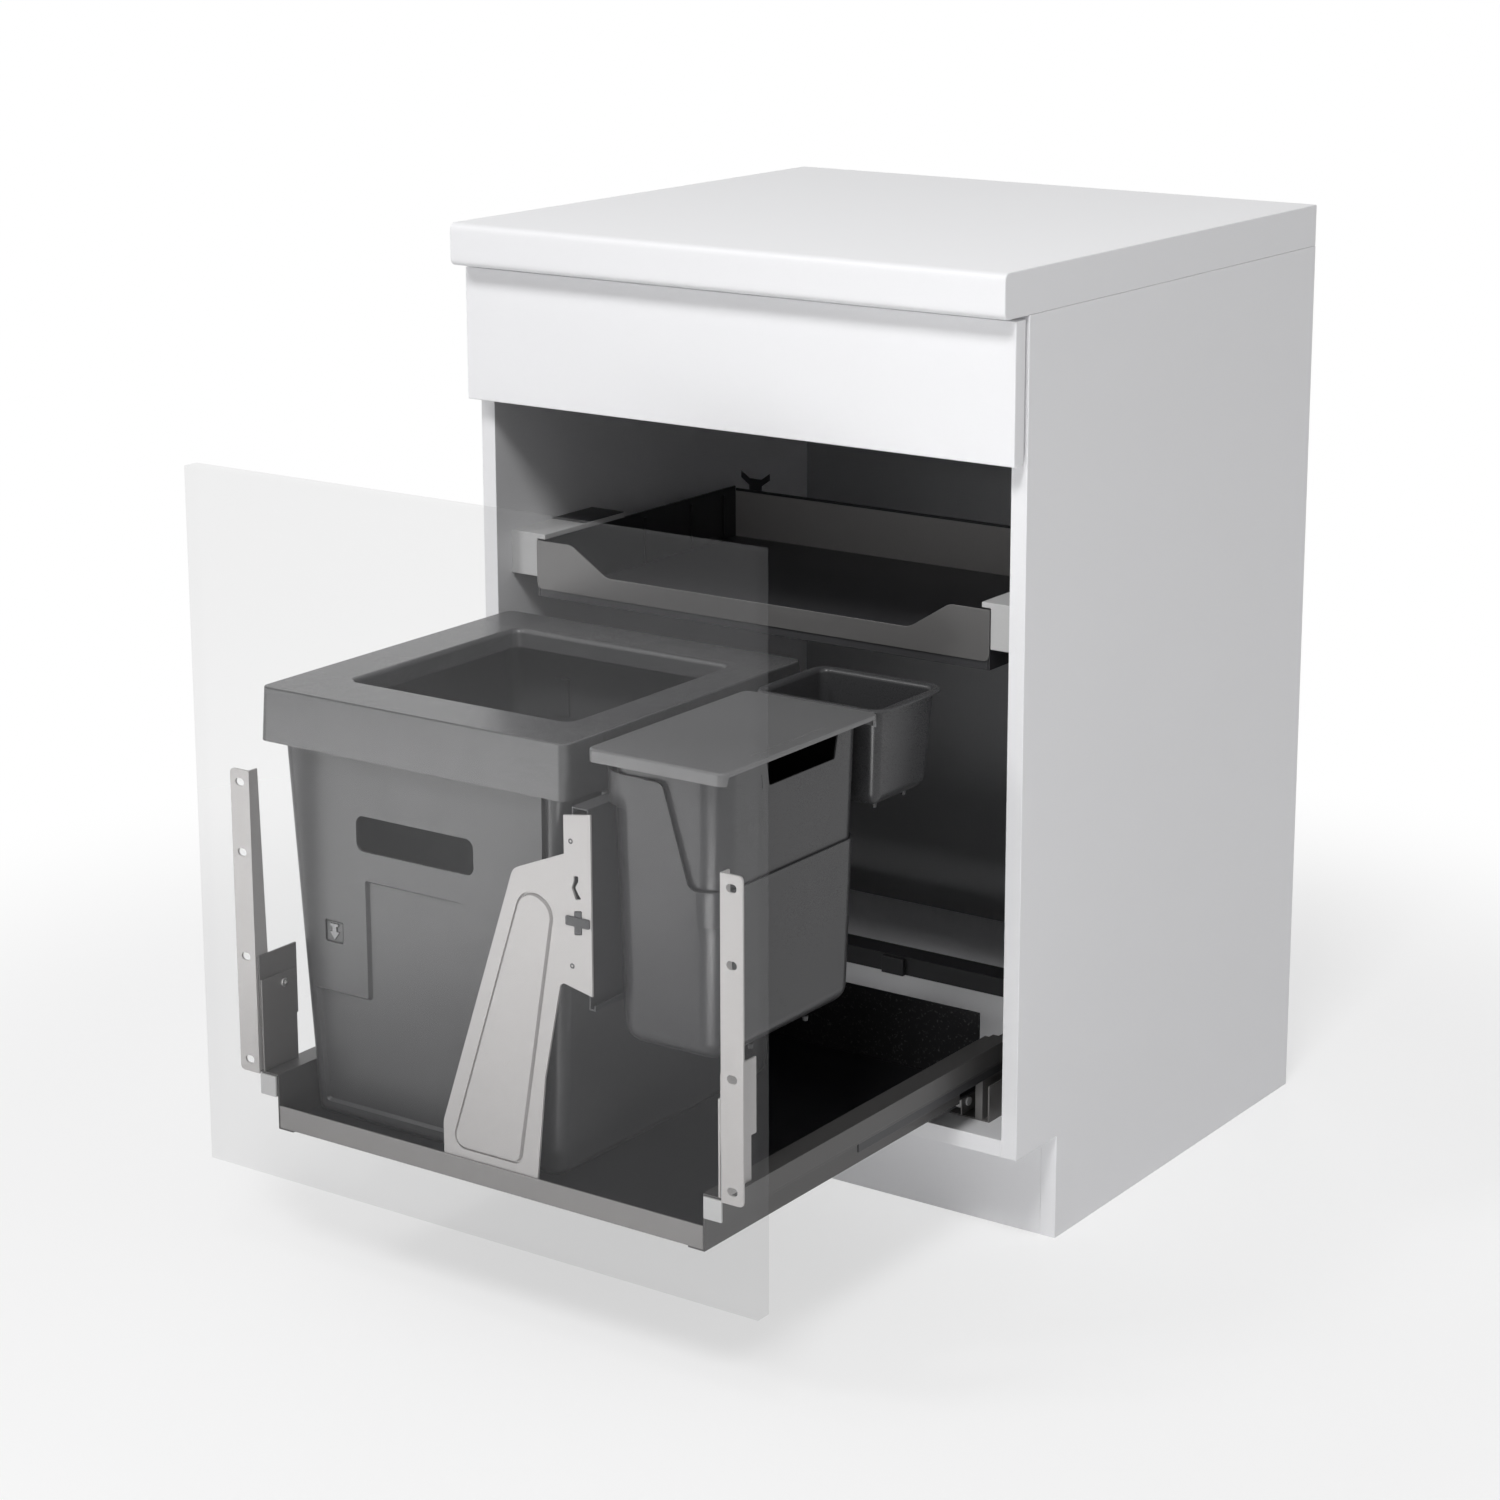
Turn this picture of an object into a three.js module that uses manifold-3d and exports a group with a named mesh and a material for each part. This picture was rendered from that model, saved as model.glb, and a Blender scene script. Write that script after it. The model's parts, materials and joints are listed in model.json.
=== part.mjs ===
// Pull-out trash cabinet: a 600 mm kitchen base unit whose door pulls out a tray of waste bins.
// Millimetres, +Z up, +Y towards the back. The pieces are drawn from the left front corner of the
// body at floor level: X = 0 is the left side, Y = 0 the front edge of the side panels. The whole
// object is then moved so that its origin is the middle of its overall footprint.
// Everything on the runners is drawn in its closed place inside one group, and that group is
// then drawn forward by pulledOut.
import * as THREE from 'three';
import { mergeVertices } from 'three/addons/utils/BufferGeometryUtils.js';
import Module from 'manifold-3d';

const wasm = await Module();
wasm.setup();

// ---- cabinet body ----
const cabinetWidth = 600;
const board = 16;
const plinthHeight = 100;
const plinthSetback = 72;
const bodyHeight = 762;
const bodyDepth = 542;
const backBoard = 8;
const backInset = 8;
const stretcherDepth = 90;
const worktopThickness = 40;
const worktopOverhang = 41;
const worktopNose = 7.5;

// ---- fronts ----
const frontBoard = 16;
const frontGap = 4.5; // between a closed front and the edges of the body
const frontReveal = 1; // each front stops this short of the side of the cabinet
const doorHeight = 632;
const doorDrop = 0.5; // the door reaches this far below the body
const frontJoint = 2.5; // between the door and the fixed front above it
const upperFrontRelief = 3; // between the fixed front and the worktop

// ---- clearances ----
const seat = 0.3; // where one piece rests in or on another
const runningGap = 0.8; // between rails that slide in each other
const passingGap = 1; // between the moving tray and what lies under it

// ---- runners ----
const pulledOut = 380; // how far the door stands open as drawn
const railLength = 450;
const sheet = 1.5;
const channelInset = 51; // from the inside of the cabinet to the outer face of the channel web
const channelUnderside = 20; // above the cabinet floor
const channelHeight = 51;
const trayLedge = 17;
const hoodWidth = 20;
const hoodLip = 17;
const hoodLipSetback = 25;
const channelFront = -2;
const channelLength = 439;
const lowerWebLength = 394;
const lowerWebHeight = 28;
const railWall = 1.8;
const movingRailHeight = 19;
const stageRailHeight = 26;
const railFront = 30; // front end of the rails on the cabinet floor
const stageFront = 12; // front end of the middle rails with the door closed
const railCap = 2;
const innerWebInset = 61; // from the inside of the cabinet to the inner web of a floor rail
const innerWebHeight = 17.2;
const railFootReach = 12;
const outerWebHeight = 34.7;
const rollerRadius = 8;
const rollerWidth = 7.5;
const rollerSetback = 10;
const axleRadius = 2;
const axleHeadRadius = 4;
const axleHead = 1.5;

// ---- tie between the floor rails ----
const tieFront = 323;
const tieDepth = 30;
const damperLeft = 250;
const damperWidth = 26;
const damperDepth = 5;

// ---- tray ----
const frontRailHeight = 20.5;
const floorSheet = 1.5;
const matThickness = 1.5;
const rearPlateHeight = 69;
const rearPlateInset = 5; // its ends stop short of the channels
const rearPlateThickness = 2;

// ---- door brackets ----
const bracketSheet = 2;
const bracketWidth = 22;
const bracketInset = 10.4; // from the inside of the cabinet
const bracketBottom = 184.7;
const bracketHeight = 278.8;
const bracketCorner = 5;
const bracketHoles = [11.3, 107.3, 203.3, 267.3]; // above the bracket's lower end
const bracketHoleRadius = 3.6;
const bracketHoleSlot = 3;
const flangeTopDepth = 9;
const flangeBottomDepth = 17;
const sidePlateBottom = 228;
const sidePlateHeight = 66;
const sidePlateDepth = 48;
const postDepth = 44;
const screwRadius = 4;
const screwHead = 2.2;
const screwSetback = 27;
const screwHeight = 35;

// ---- bin support ----
const supportSheet = 2;
const supportFoot = 257; // left edge of the foot
const supportFootWidth = 100;
const supportFootRise = 46;
const supportShoulder = [338, 427];
const supportNeck = [392, 449];
const supportTop = 482;
const supportTopRise = 4.5;
const supportRight = 419.6;
const supportArmBottom = 331;
const supportHip = [386.8, 338];
const supportKnee = [368.6, 250];
const supportCorner = 12;
const beamWidth = 17;
const beamTop = 490;
const beamHeight = 172;
const beamLength = 360;
const beamLip = 8;
const beamCurl = 5;
const beamSetback = 3.6; // from the support's right edge to the beam's web
const clipHeight = 393;
const clipWidth = 25;
const clipThickness = 8;
const clipSlot = 23;
const supportScrewHeights = [354, 461];
const supportScrewRadius = 2.6;

// ---- large bin ----
const bigBinTop = 527.2;
const bigBinWidth = 320.5;
const bigBinFront = 39; // behind the body's front edge, with the door closed
const bigBinDepth = 328;
const bigBinSideGap = 3.8; // from its foot to the left channel
const bigBinTaper = { left: 30.3, right: 10.5, front: 1, back: 15 };
const bigBinCorner = 15;
const bigBinFoot = 9;
const bigBinWall = 2.6;
const gripInset = 89.5; // from the bin's left side
const gripWidth = 131.5;
const gripBottom = 395;
const gripHeight = 32.5;
const gripCorner = 8;
const frameOverhang = 9; // of the frame past the bin's wall
const frameHeight = 48.5;
const frameFlare = 2.5;
const frameWall = 2.4;
const frameTopThickness = 3;
const frameCorner = 10;
const frameOpening = { left: 52, right: 42.5, front: 60, back: 54 };
const frameOpeningCorner = 9;
const frameThroat = 14;

// ---- small bin and its holder ----
const holderTop = 519;
const holderBottom = 286;
const holderWidth = 120;
const holderFront = 19.5;
const holderDepth = 211;
const holderTaper = 8;
const holderTaperEnds = 6;
const holderCorner = 14;
const holderFoot = 16;
const holderShoulder = 8; // its top part reaches this far over the beam
const smallWall = 1.8;
const lowEdge = 433; // upper edge of the holder's open side
const lowEdgeInset = 87;
const highEdgeInset = 54;
const hookReach = 3;
const hookDrop = 16;
const hookWall = 2;
const bucketTop = 536;
const bucketGap = 0.6;
const bucketRim = 3.5;
const bucketRimHeight = 4;
const bucketGripWidth = 91;
const bucketGripSetback = 76;
const bucketGripHeight = 20;
const bucketGripBottom = 508;
const lidThickness = 2.4;
const lidSkirt = 11;
const lidOverhang = 7.5;
const lidBackGap = 0.6; // between the rim and the skirt behind it
const lidCorner = 8;

// ---- open caddy ----
const caddyTop = 538;
const caddyHeight = 90;
const caddyGap = 3.5; // between the lid of the small bin and the caddy
const caddyDepth = 95;
const caddyTaper = 6;
const caddyCorner = 8;
const caddyRim = 7;
const caddyRimHeight = 3;

// ---- cover shelf over the bins ----
const shelfFront = 20;
const shelfDepth = 327;
const shelfInset = 32; // from the inside of the cabinet
const shelfBottom = 541;
const shelfSheet = 1.5;
const shelfSideWall = 2;
const shelfSideTop = 595;
const shelfRearTop = 590;
const shelfPanelBottom = 549;
const shelfWingTop = 596;
const shelfLowEdge = 569.5;
const shelfWing = 41.5;
const shelfSlope = 41.5;
const shelfPanelCorner = 7;
const pegSetbacks = [168, 246, 302];
const pegDepth = 3;
const pegReach = 2;
const trimHeight = 2.5;
const trimDepth = 3;
const shelfBracketBottom = 560;
const shelfBracketHeight = 42;
const shelfBracketLength = 126;
const shelfBracketCover = 9; // how far its top reaches over the shelf
const shelfBracketCoverThickness = 5;
const shelfBracketWall = 2;
const hookPlateInset = 7;
const hookPlateWidth = 35;
const hookPlateTop = 611;
const hookPlateHeight = 48;
const hookPlateStem = 15;
const hookPlateArm = 7;

// ---- brackets of the fixed front ----
const frontBracketDepth = 40;
const frontBracketWidth = 24;
const frontBracketBottom = 778;
const frontBracketHeight = 44;

// ---- places worked out from the sizes above ----
const innerLeft = board;
const innerRight = cabinetWidth - board;
const bodyTop = plinthHeight + bodyHeight;
const floorTop = plinthHeight + board;
const backFace = bodyDepth - backInset - backBoard;
const doorBottom = plinthHeight - doorDrop;
const doorTop = doorBottom + doorHeight;
const arcSteps = 5;

// ---- finishes ----
const finish = (color, roughness, metalness = 0) => () =>
  new THREE.MeshStandardMaterial({ color, roughness, metalness });
const whiteBoard = finish(0xebebee, 0.5);
const seeThroughFront = () =>
  new THREE.MeshStandardMaterial({ color: 0xebebee, roughness: 0.35, transparent: true, opacity: 0.2 });
const paintedSteel = finish(0xa9a6a4, 0.5, 0.4);
const darkSteel = finish(0x3a3a3c, 0.5, 0.4);
const blackMat = finish(0x121214, 0.25);
const speckledBlack = finish(0x2b2b2d, 0.8);
const greyPlastic = finish(0x6f7072, 0.55);
const lightPlastic = finish(0xb8b8b8, 0.5);
const blackPlastic = finish(0x1a1a1b, 0.5);

// ---- outlines ----
const outlineOf = (points) => new THREE.Shape(points.map(([u, v]) => new THREE.Vector2(u, v)));

function roundedRectangle(u0, u1, v0, v1, radius) {
  const shape = new THREE.Shape();
  shape.absarc(u1 - radius, v0 + radius, radius, -Math.PI / 2, 0);
  shape.absarc(u1 - radius, v1 - radius, radius, 0, Math.PI / 2);
  shape.absarc(u0 + radius, v1 - radius, radius, Math.PI / 2, Math.PI);
  shape.absarc(u0 + radius, v0 + radius, radius, Math.PI, Math.PI * 1.5);
  return shape;
}

// An outline whose corners are rounded where a third number gives a radius.
function softOutline(corners) {
  const shape = new THREE.Shape();
  corners.forEach(([u, v, radius = 0], i) => {
    const here = new THREE.Vector2(u, v);
    const before = corners[(i + corners.length - 1) % corners.length];
    const after = corners[(i + 1) % corners.length];
    const back = new THREE.Vector2(before[0], before[1]).sub(here).normalize();
    const on = new THREE.Vector2(after[0], after[1]).sub(here).normalize();
    const start = here.clone().addScaledVector(back, radius);
    const end = here.clone().addScaledVector(on, radius);
    if (i === 0) shape.moveTo(start.x, start.y);
    else shape.lineTo(start.x, start.y);
    if (radius > 0) shape.quadraticCurveTo(u, v, end.x, end.y);
  });
  shape.closePath();
  return shape;
}

// The outline of a folded sheet: the path is its right-hand face, the sheet lies to its left.
function foldedSheet(path, thickness) {
  const points = path.map(([u, v]) => new THREE.Vector2(u, v));
  const normals = points.slice(1).map((point, i) => {
    const run = point.clone().sub(points[i]).normalize();
    return new THREE.Vector2(-run.y, run.x);
  });
  const offset = points.map((point, i) => {
    const a = normals[Math.max(i - 1, 0)];
    const b = normals[Math.min(i, normals.length - 1)];
    const mitre = a.clone().add(b);
    return point.clone().addScaledVector(mitre, (2 * thickness) / mitre.lengthSq());
  });
  return new THREE.Shape([...points, ...offset.reverse()]);
}

// An upside-down U, open below.
const hoodOutline = (left, right, bottom, top, wall) => outlineOf([
  [left, bottom], [left + wall, bottom], [left + wall, top - wall], [right - wall, top - wall],
  [right - wall, bottom], [right, bottom], [right, top], [left, top],
]);

// A flat base with upright webs, each [left, right, top].
function combOutline(left, right, bottom, thickness, webs) {
  const base = bottom + thickness;
  const points = [[left, bottom], [right, bottom]];
  let end = right;
  for (const [webLeft, webRight, top] of [...webs].reverse()) {
    if (webRight < end) points.push([end, base], [webRight, base]);
    points.push([webRight, top], [webLeft, top]);
    end = webLeft;
  }
  points.push([end, base], [left, base]);
  return outlineOf(points);
}

// ---- solids ----
const axisX = new THREE.Vector3(1, 0, 0);
const axisY = new THREE.Vector3(0, 1, 0);
const axisZ = new THREE.Vector3(0, 0, 1);

const extruded = (shape, depth) =>
  new THREE.ExtrudeGeometry(shape, { depth, bevelEnabled: false, curveSegments: arcSteps });

// An outline in Y and Z, drawn along X.
const alongX = (shape, from, to) => extruded(shape, to - from)
  .applyMatrix4(new THREE.Matrix4().makeBasis(axisY, axisZ, axisX))
  .translate(from, 0, 0);

// An outline in X and Z, drawn along Y.
const alongY = (shape, from, to) => extruded(shape, to - from)
  .applyMatrix4(new THREE.Matrix4().makeBasis(axisX, axisZ, axisY.clone().negate()))
  .translate(0, to, 0);

// An outline in X and Y, drawn along Z.
const alongZ = (shape, from, to) => extruded(shape, to - from).translate(0, 0, from);

function box([x0, x1], [y0, y1], [z0, z1]) {
  return new THREE.BoxGeometry(x1 - x0, y1 - y0, z1 - z0)
    .translate((x0 + x1) / 2, (y0 + y1) / 2, (z0 + z1) / 2);
}

// A closed solid through rings of points, each ring { z, outline: [x0, x1, y0, y1, radius] }.
function lofted(rings) {
  const positions = [];
  for (const { z, outline: [x0, x1, y0, y1, radius] } of rings) {
    const corners = [
      [x1 - radius, y0 + radius, -Math.PI / 2], [x1 - radius, y1 - radius, 0],
      [x0 + radius, y1 - radius, Math.PI / 2], [x0 + radius, y0 + radius, Math.PI],
    ];
    for (const [cx, cy, start] of corners) {
      for (let step = 0; step <= arcSteps; step += 1) {
        const angle = start + (step / arcSteps) * (Math.PI / 2);
        positions.push(cx + radius * Math.cos(angle), cy + radius * Math.sin(angle), z);
      }
    }
  }
  const count = 4 * (arcSteps + 1);
  const indices = [];
  for (let ring = 0; ring < rings.length - 1; ring += 1) {
    for (let i = 0; i < count; i += 1) {
      const a = ring * count + i;
      const b = ring * count + ((i + 1) % count);
      indices.push(a, b, b + count, a, b + count, a + count);
    }
  }
  const last = (rings.length - 1) * count;
  for (let i = 1; i < count - 1; i += 1) {
    indices.push(0, i + 1, i);
    indices.push(last, last + i, last + i + 1);
  }
  const geometry = new THREE.BufferGeometry();
  geometry.setAttribute('position', new THREE.Float32BufferAttribute(positions, 3));
  geometry.setIndex(indices);
  return geometry;
}

const insetOutline = ([x0, x1, y0, y1, radius], by) =>
  [x0 + by, x1 - by, y0 + by, y1 - by, Math.max(radius - by, 1)];

const blendOutline = (low, high, t) => low.map((value, i) => value + (high[i] - value) * t);

// A tapered tub, open at the top, with a rounded foot. A shoulder { z, left } steps its left wall
// out above the height z.
function tub({ low, high, bottom, top, foot, wall, rim = 0, rimHeight = 0, shoulder = null }) {
  const at = (z, by, stepped = false) => {
    const outline = insetOutline(blendOutline(low, high, (z - bottom) / (top - bottom)), by);
    if (stepped) outline[0] = shoulder.left + by;
    return { z, outline };
  };
  const wide = shoulder !== null;
  const footSteps = 3;
  const rings = [];
  for (let step = 0; step <= footSteps; step += 1) {
    const angle = (step / footSteps) * (Math.PI / 2);
    rings.push(at(bottom + foot * (1 - Math.cos(angle)), foot * (1 - Math.sin(angle))));
  }
  if (wide) rings.push(at(shoulder.z, 0), at(shoulder.z, 0, true));
  if (rim > 0) rings.push(at(top - rimHeight, 0), at(top - rimHeight, -rim));
  rings.push(at(top, -rim, wide), at(top, wall, wide));
  if (wide) rings.push(at(shoulder.z + wall, wall, true), at(shoulder.z + wall, wall));
  for (let step = footSteps; step >= 0; step -= 1) {
    const angle = (step / footSteps) * (Math.PI / 2);
    const inner = foot - wall;
    rings.push(at(bottom + wall + inner * (1 - Math.cos(angle)), wall + inner * (1 - Math.sin(angle))));
  }
  return lofted(rings);
}

// ---- joining and cutting ----
function toSolid(geometry) {
  const bare = geometry.clone();
  bare.deleteAttribute('normal');
  bare.deleteAttribute('uv');
  const merged = mergeVertices(bare, 1e-4);
  return new wasm.Manifold(new wasm.Mesh({
    numProp: 3,
    vertProperties: new Float32Array(merged.attributes.position.array),
    triVerts: new Uint32Array(merged.index.array),
  }));
}

function toGeometry(solid) {
  const mesh = solid.getMesh();
  const geometry = new THREE.BufferGeometry();
  geometry.setAttribute('position', new THREE.BufferAttribute(mesh.vertProperties, 3));
  geometry.setIndex(new THREE.BufferAttribute(mesh.triVerts, 1));
  return geometry;
}

const cut = (geometry, ...tools) =>
  toGeometry(tools.reduce((solid, tool) => solid.subtract(toSolid(tool)), toSolid(geometry)));

const joined = (first, ...rest) =>
  toGeometry(rest.reduce((solid, more) => solid.add(toSolid(more)), toSolid(first)));

// The same piece on the other side of the cabinet.
function mirrored(geometry) {
  const other = geometry.clone().applyMatrix4(new THREE.Matrix4().makeScale(-1, 1, 1));
  other.translate(cabinetWidth, 0, 0);
  if (other.index) {
    const index = other.index;
    for (let i = 0; i < index.count; i += 3) {
      const second = index.getX(i + 1);
      index.setX(i + 1, index.getX(i + 2));
      index.setX(i + 2, second);
    }
    return other;
  }
  for (const name of Object.keys(other.attributes)) {
    const attribute = other.attributes[name];
    const size = attribute.itemSize;
    for (let i = 0; i < attribute.count; i += 3) {
      for (let k = 0; k < size; k += 1) {
        const second = attribute.array[(i + 1) * size + k];
        attribute.array[(i + 1) * size + k] = attribute.array[(i + 2) * size + k];
        attribute.array[(i + 2) * size + k] = second;
      }
    }
  }
  return other;
}

function add(group, name, geometry, makeMaterial) {
  geometry.computeVertexNormals();
  const mesh = new THREE.Mesh(geometry, makeMaterial());
  mesh.name = name;
  group.add(mesh);
}

// Pieces in pairs are drawn on the right-hand side.
function addPair(group, name, geometry, makeMaterial) {
  add(group, `${name}_left`, mirrored(geometry), makeMaterial);
  add(group, `${name}_right`, geometry, makeMaterial);
}

// ---- the cabinet ----
function buildCabinet(group) {
  const sideOutline = outlineOf([
    [plinthSetback, 0], [bodyDepth, 0], [bodyDepth, bodyTop], [0, bodyTop],
    [0, plinthHeight], [plinthSetback, plinthHeight],
  ]);
  addPair(group, 'side_panel', alongX(sideOutline, innerRight, cabinetWidth), whiteBoard);
  const inside = [innerLeft, innerRight];
  add(group, 'bottom_panel', box(inside, [0, backFace], [plinthHeight, floorTop]), whiteBoard);
  add(group, 'back_panel', box(inside, [backFace, backFace + backBoard], [plinthHeight, bodyTop]), whiteBoard);
  add(group, 'front_stretcher', box(inside, [0, stretcherDepth], [bodyTop - board, bodyTop]), whiteBoard);
  add(group, 'rear_stretcher',
    box(inside, [backFace - stretcherDepth, backFace], [bodyTop - board, bodyTop]), whiteBoard);
  add(group, 'plinth_board',
    box(inside, [plinthSetback, plinthSetback + board], [0, plinthHeight]), whiteBoard);

  const worktopTop = bodyTop + worktopThickness;
  const worktopOutline = softOutline([
    [-worktopOverhang, bodyTop, worktopNose], [bodyDepth, bodyTop],
    [bodyDepth, worktopTop], [-worktopOverhang, worktopTop, worktopNose],
  ]);
  add(group, 'worktop', alongX(worktopOutline, 0, cabinetWidth), whiteBoard);

  const frontAcross = [frontReveal, cabinetWidth - frontReveal];
  const upperFrontTop = bodyTop - upperFrontRelief;
  add(group, 'upper_front',
    box(frontAcross, [-frontGap - frontBoard, -frontGap], [doorTop + frontJoint, upperFrontTop]), whiteBoard);
  const angle = foldedSheet([
    [innerRight, frontBracketDepth], [innerRight, -frontGap], [innerRight - frontBracketWidth, -frontGap],
  ].reverse(), sheet);
  addPair(group, 'front_bracket',
    alongZ(angle, frontBracketBottom, frontBracketBottom + frontBracketHeight), paintedSteel);
}

// ---- runners: a channel with a hood, and three rails that nest in it ----
const channel = {
  web: innerRight - channelInset,
  bottom: floorTop + channelUnderside,
  top: floorTop + channelUnderside + channelHeight,
};
channel.webInside = channel.web - sheet;
channel.ledgeTop = channel.bottom + sheet;
channel.hoodRight = channel.web + hoodWidth;
channel.hoodInside = channel.hoodRight - sheet;
channel.hoodUnderside = channel.top - sheet;

const movingRail = {
  left: channel.web + seat,
  right: channel.hoodInside - seat,
  top: channel.hoodUnderside - seat,
};
movingRail.bottom = movingRail.top - movingRailHeight;

const nestedIn = (outer, height) => {
  const step = railWall + runningGap;
  const rail = { left: outer.left + step, right: outer.right - step, top: outer.top - step };
  rail.bottom = rail.top - height;
  return rail;
};
const stageRail = nestedIn(movingRail, stageRailHeight);
const post = nestedIn(stageRail, 0);

function buildFloorRails(group) {
  const innerWeb = innerRight - innerWebInset;
  const outerWeb = channel.hoodInside + seat;
  const profile = combOutline(innerWeb - railFootReach, outerWeb + sheet, floorTop, sheet, [
    [innerWeb, innerWeb + sheet, floorTop + innerWebHeight],
    [post.left, post.right, post.top],
    [outerWeb, outerWeb + sheet, floorTop + outerWebHeight],
  ]);
  const rollerY = railFront + rollerSetback;
  const rollerZ = channel.bottom - seat - rollerRadius;
  const axleHole = new THREE.CylinderGeometry(axleRadius + seat, axleRadius + seat, 4 * sheet, 12)
    .rotateZ(Math.PI / 2)
    .translate(innerWeb + sheet / 2, rollerY, rollerZ);
  const rail = cut(alongY(profile, railFront, railFront + railLength), axleHole);
  addPair(group, 'floor_rail', rail, paintedSteel);

  // the roller turns on an axle with a head behind the web
  const headStart = rollerWidth + sheet + 2 * seat;
  const half = new THREE.Shape();
  const profilePoints = [
    [0, 0], [rollerRadius - 1, 0], [rollerRadius, 1], [rollerRadius, rollerWidth - 1],
    [rollerRadius - 1, rollerWidth], [axleRadius, rollerWidth], [axleRadius, headStart],
    [axleHeadRadius, headStart], [axleHeadRadius, headStart + axleHead], [0, headStart + axleHead],
  ];
  half.setFromPoints(profilePoints.map(([r, along]) => new THREE.Vector2(r, along)));
  const roller = new THREE.LatheGeometry(half.getPoints(), 20)
    .rotateZ(-Math.PI / 2)
    .translate(innerWeb - seat - rollerWidth, rollerY, rollerZ);
  addPair(group, 'roller', roller, lightPlastic);

  const tieRight = innerWeb - railFootReach - seat;
  const tieTop = channel.bottom - passingGap;
  const tie = hoodOutline(tieFront, tieFront + tieDepth, floorTop, tieTop, sheet);
  add(group, 'rail_tie', alongX(tie, cabinetWidth - tieRight, tieRight), darkSteel);
  add(group, 'closing_damper', box([damperLeft, damperLeft + damperWidth],
    [tieFront - seat - damperDepth, tieFront - seat], [floorTop, tieTop - 1]), blackPlastic);
}

function buildStage(group) {
  const profile = hoodOutline(stageRail.left, stageRail.right, stageRail.bottom, stageRail.top, railWall);
  addPair(group, 'middle_rail', alongY(profile, stageFront, stageFront + railLength), darkSteel);
}

function buildChannels(group) {
  const profile = foldedSheet([
    [channel.web - trayLedge, channel.bottom], [channel.web, channel.bottom],
    [channel.web, channel.hoodUnderside], [channel.hoodInside, channel.hoodUnderside],
    [channel.hoodInside, channel.top - hoodLip],
  ], sheet);
  const rear = channelFront + channelLength;
  const lipRelief = box([channel.hoodInside - seat, channel.hoodRight + 1],
    [channelFront - 1, channelFront + hoodLipSetback], [channel.bottom, channel.hoodUnderside]);
  const webRelief = box([channel.web - trayLedge - 1, channel.hoodRight + 1],
    [channelFront + lowerWebLength, rear + 1], [channel.bottom - 1, channel.bottom + lowerWebHeight]);
  const side = cut(alongY(profile, channelFront, rear), lipRelief, webRelief);
  addPair(group, 'side_channel', side, paintedSteel);

  const { left, right, bottom, top } = movingRail;
  const rail = alongY(hoodOutline(left, right, bottom, top, railWall), channelFront, channelFront + railLength);
  addPair(group, 'moving_rail', rail, paintedSteel);
  addPair(group, 'rail_cap',
    box([left, right], [channelFront - railCap, channelFront], [bottom, top]), lightPlastic);
}

// ---- tray ----
const trayBack = channelFront + channelLength;
const traySpan = [cabinetWidth - channel.webInside + seat, channel.webInside - seat];
const floorSheetTop = channel.ledgeTop + floorSheet;
const matTop = floorSheetTop + matThickness;

function buildTray(group) {
  add(group, 'front_rail', box(traySpan, [channelFront, channelFront + sheet],
    [channel.ledgeTop, channel.ledgeTop + frontRailHeight]), paintedSteel);
  const floorFront = channelFront + sheet + seat;
  add(group, 'tray_floor', box(traySpan, [floorFront, trayBack], [channel.ledgeTop, floorSheetTop]), darkSteel);
  const plateFront = trayBack - rearPlateThickness;
  add(group, 'floor_mat', box(traySpan, [floorFront, plateFront - seat], [floorSheetTop, matTop]), blackMat);
  const plateSpan = [traySpan[0] + rearPlateInset, traySpan[1] - rearPlateInset];
  add(group, 'rear_plate',
    box(plateSpan, [plateFront, trayBack], [floorSheetTop, floorSheetTop + rearPlateHeight]), speckledBlack);
}

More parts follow.
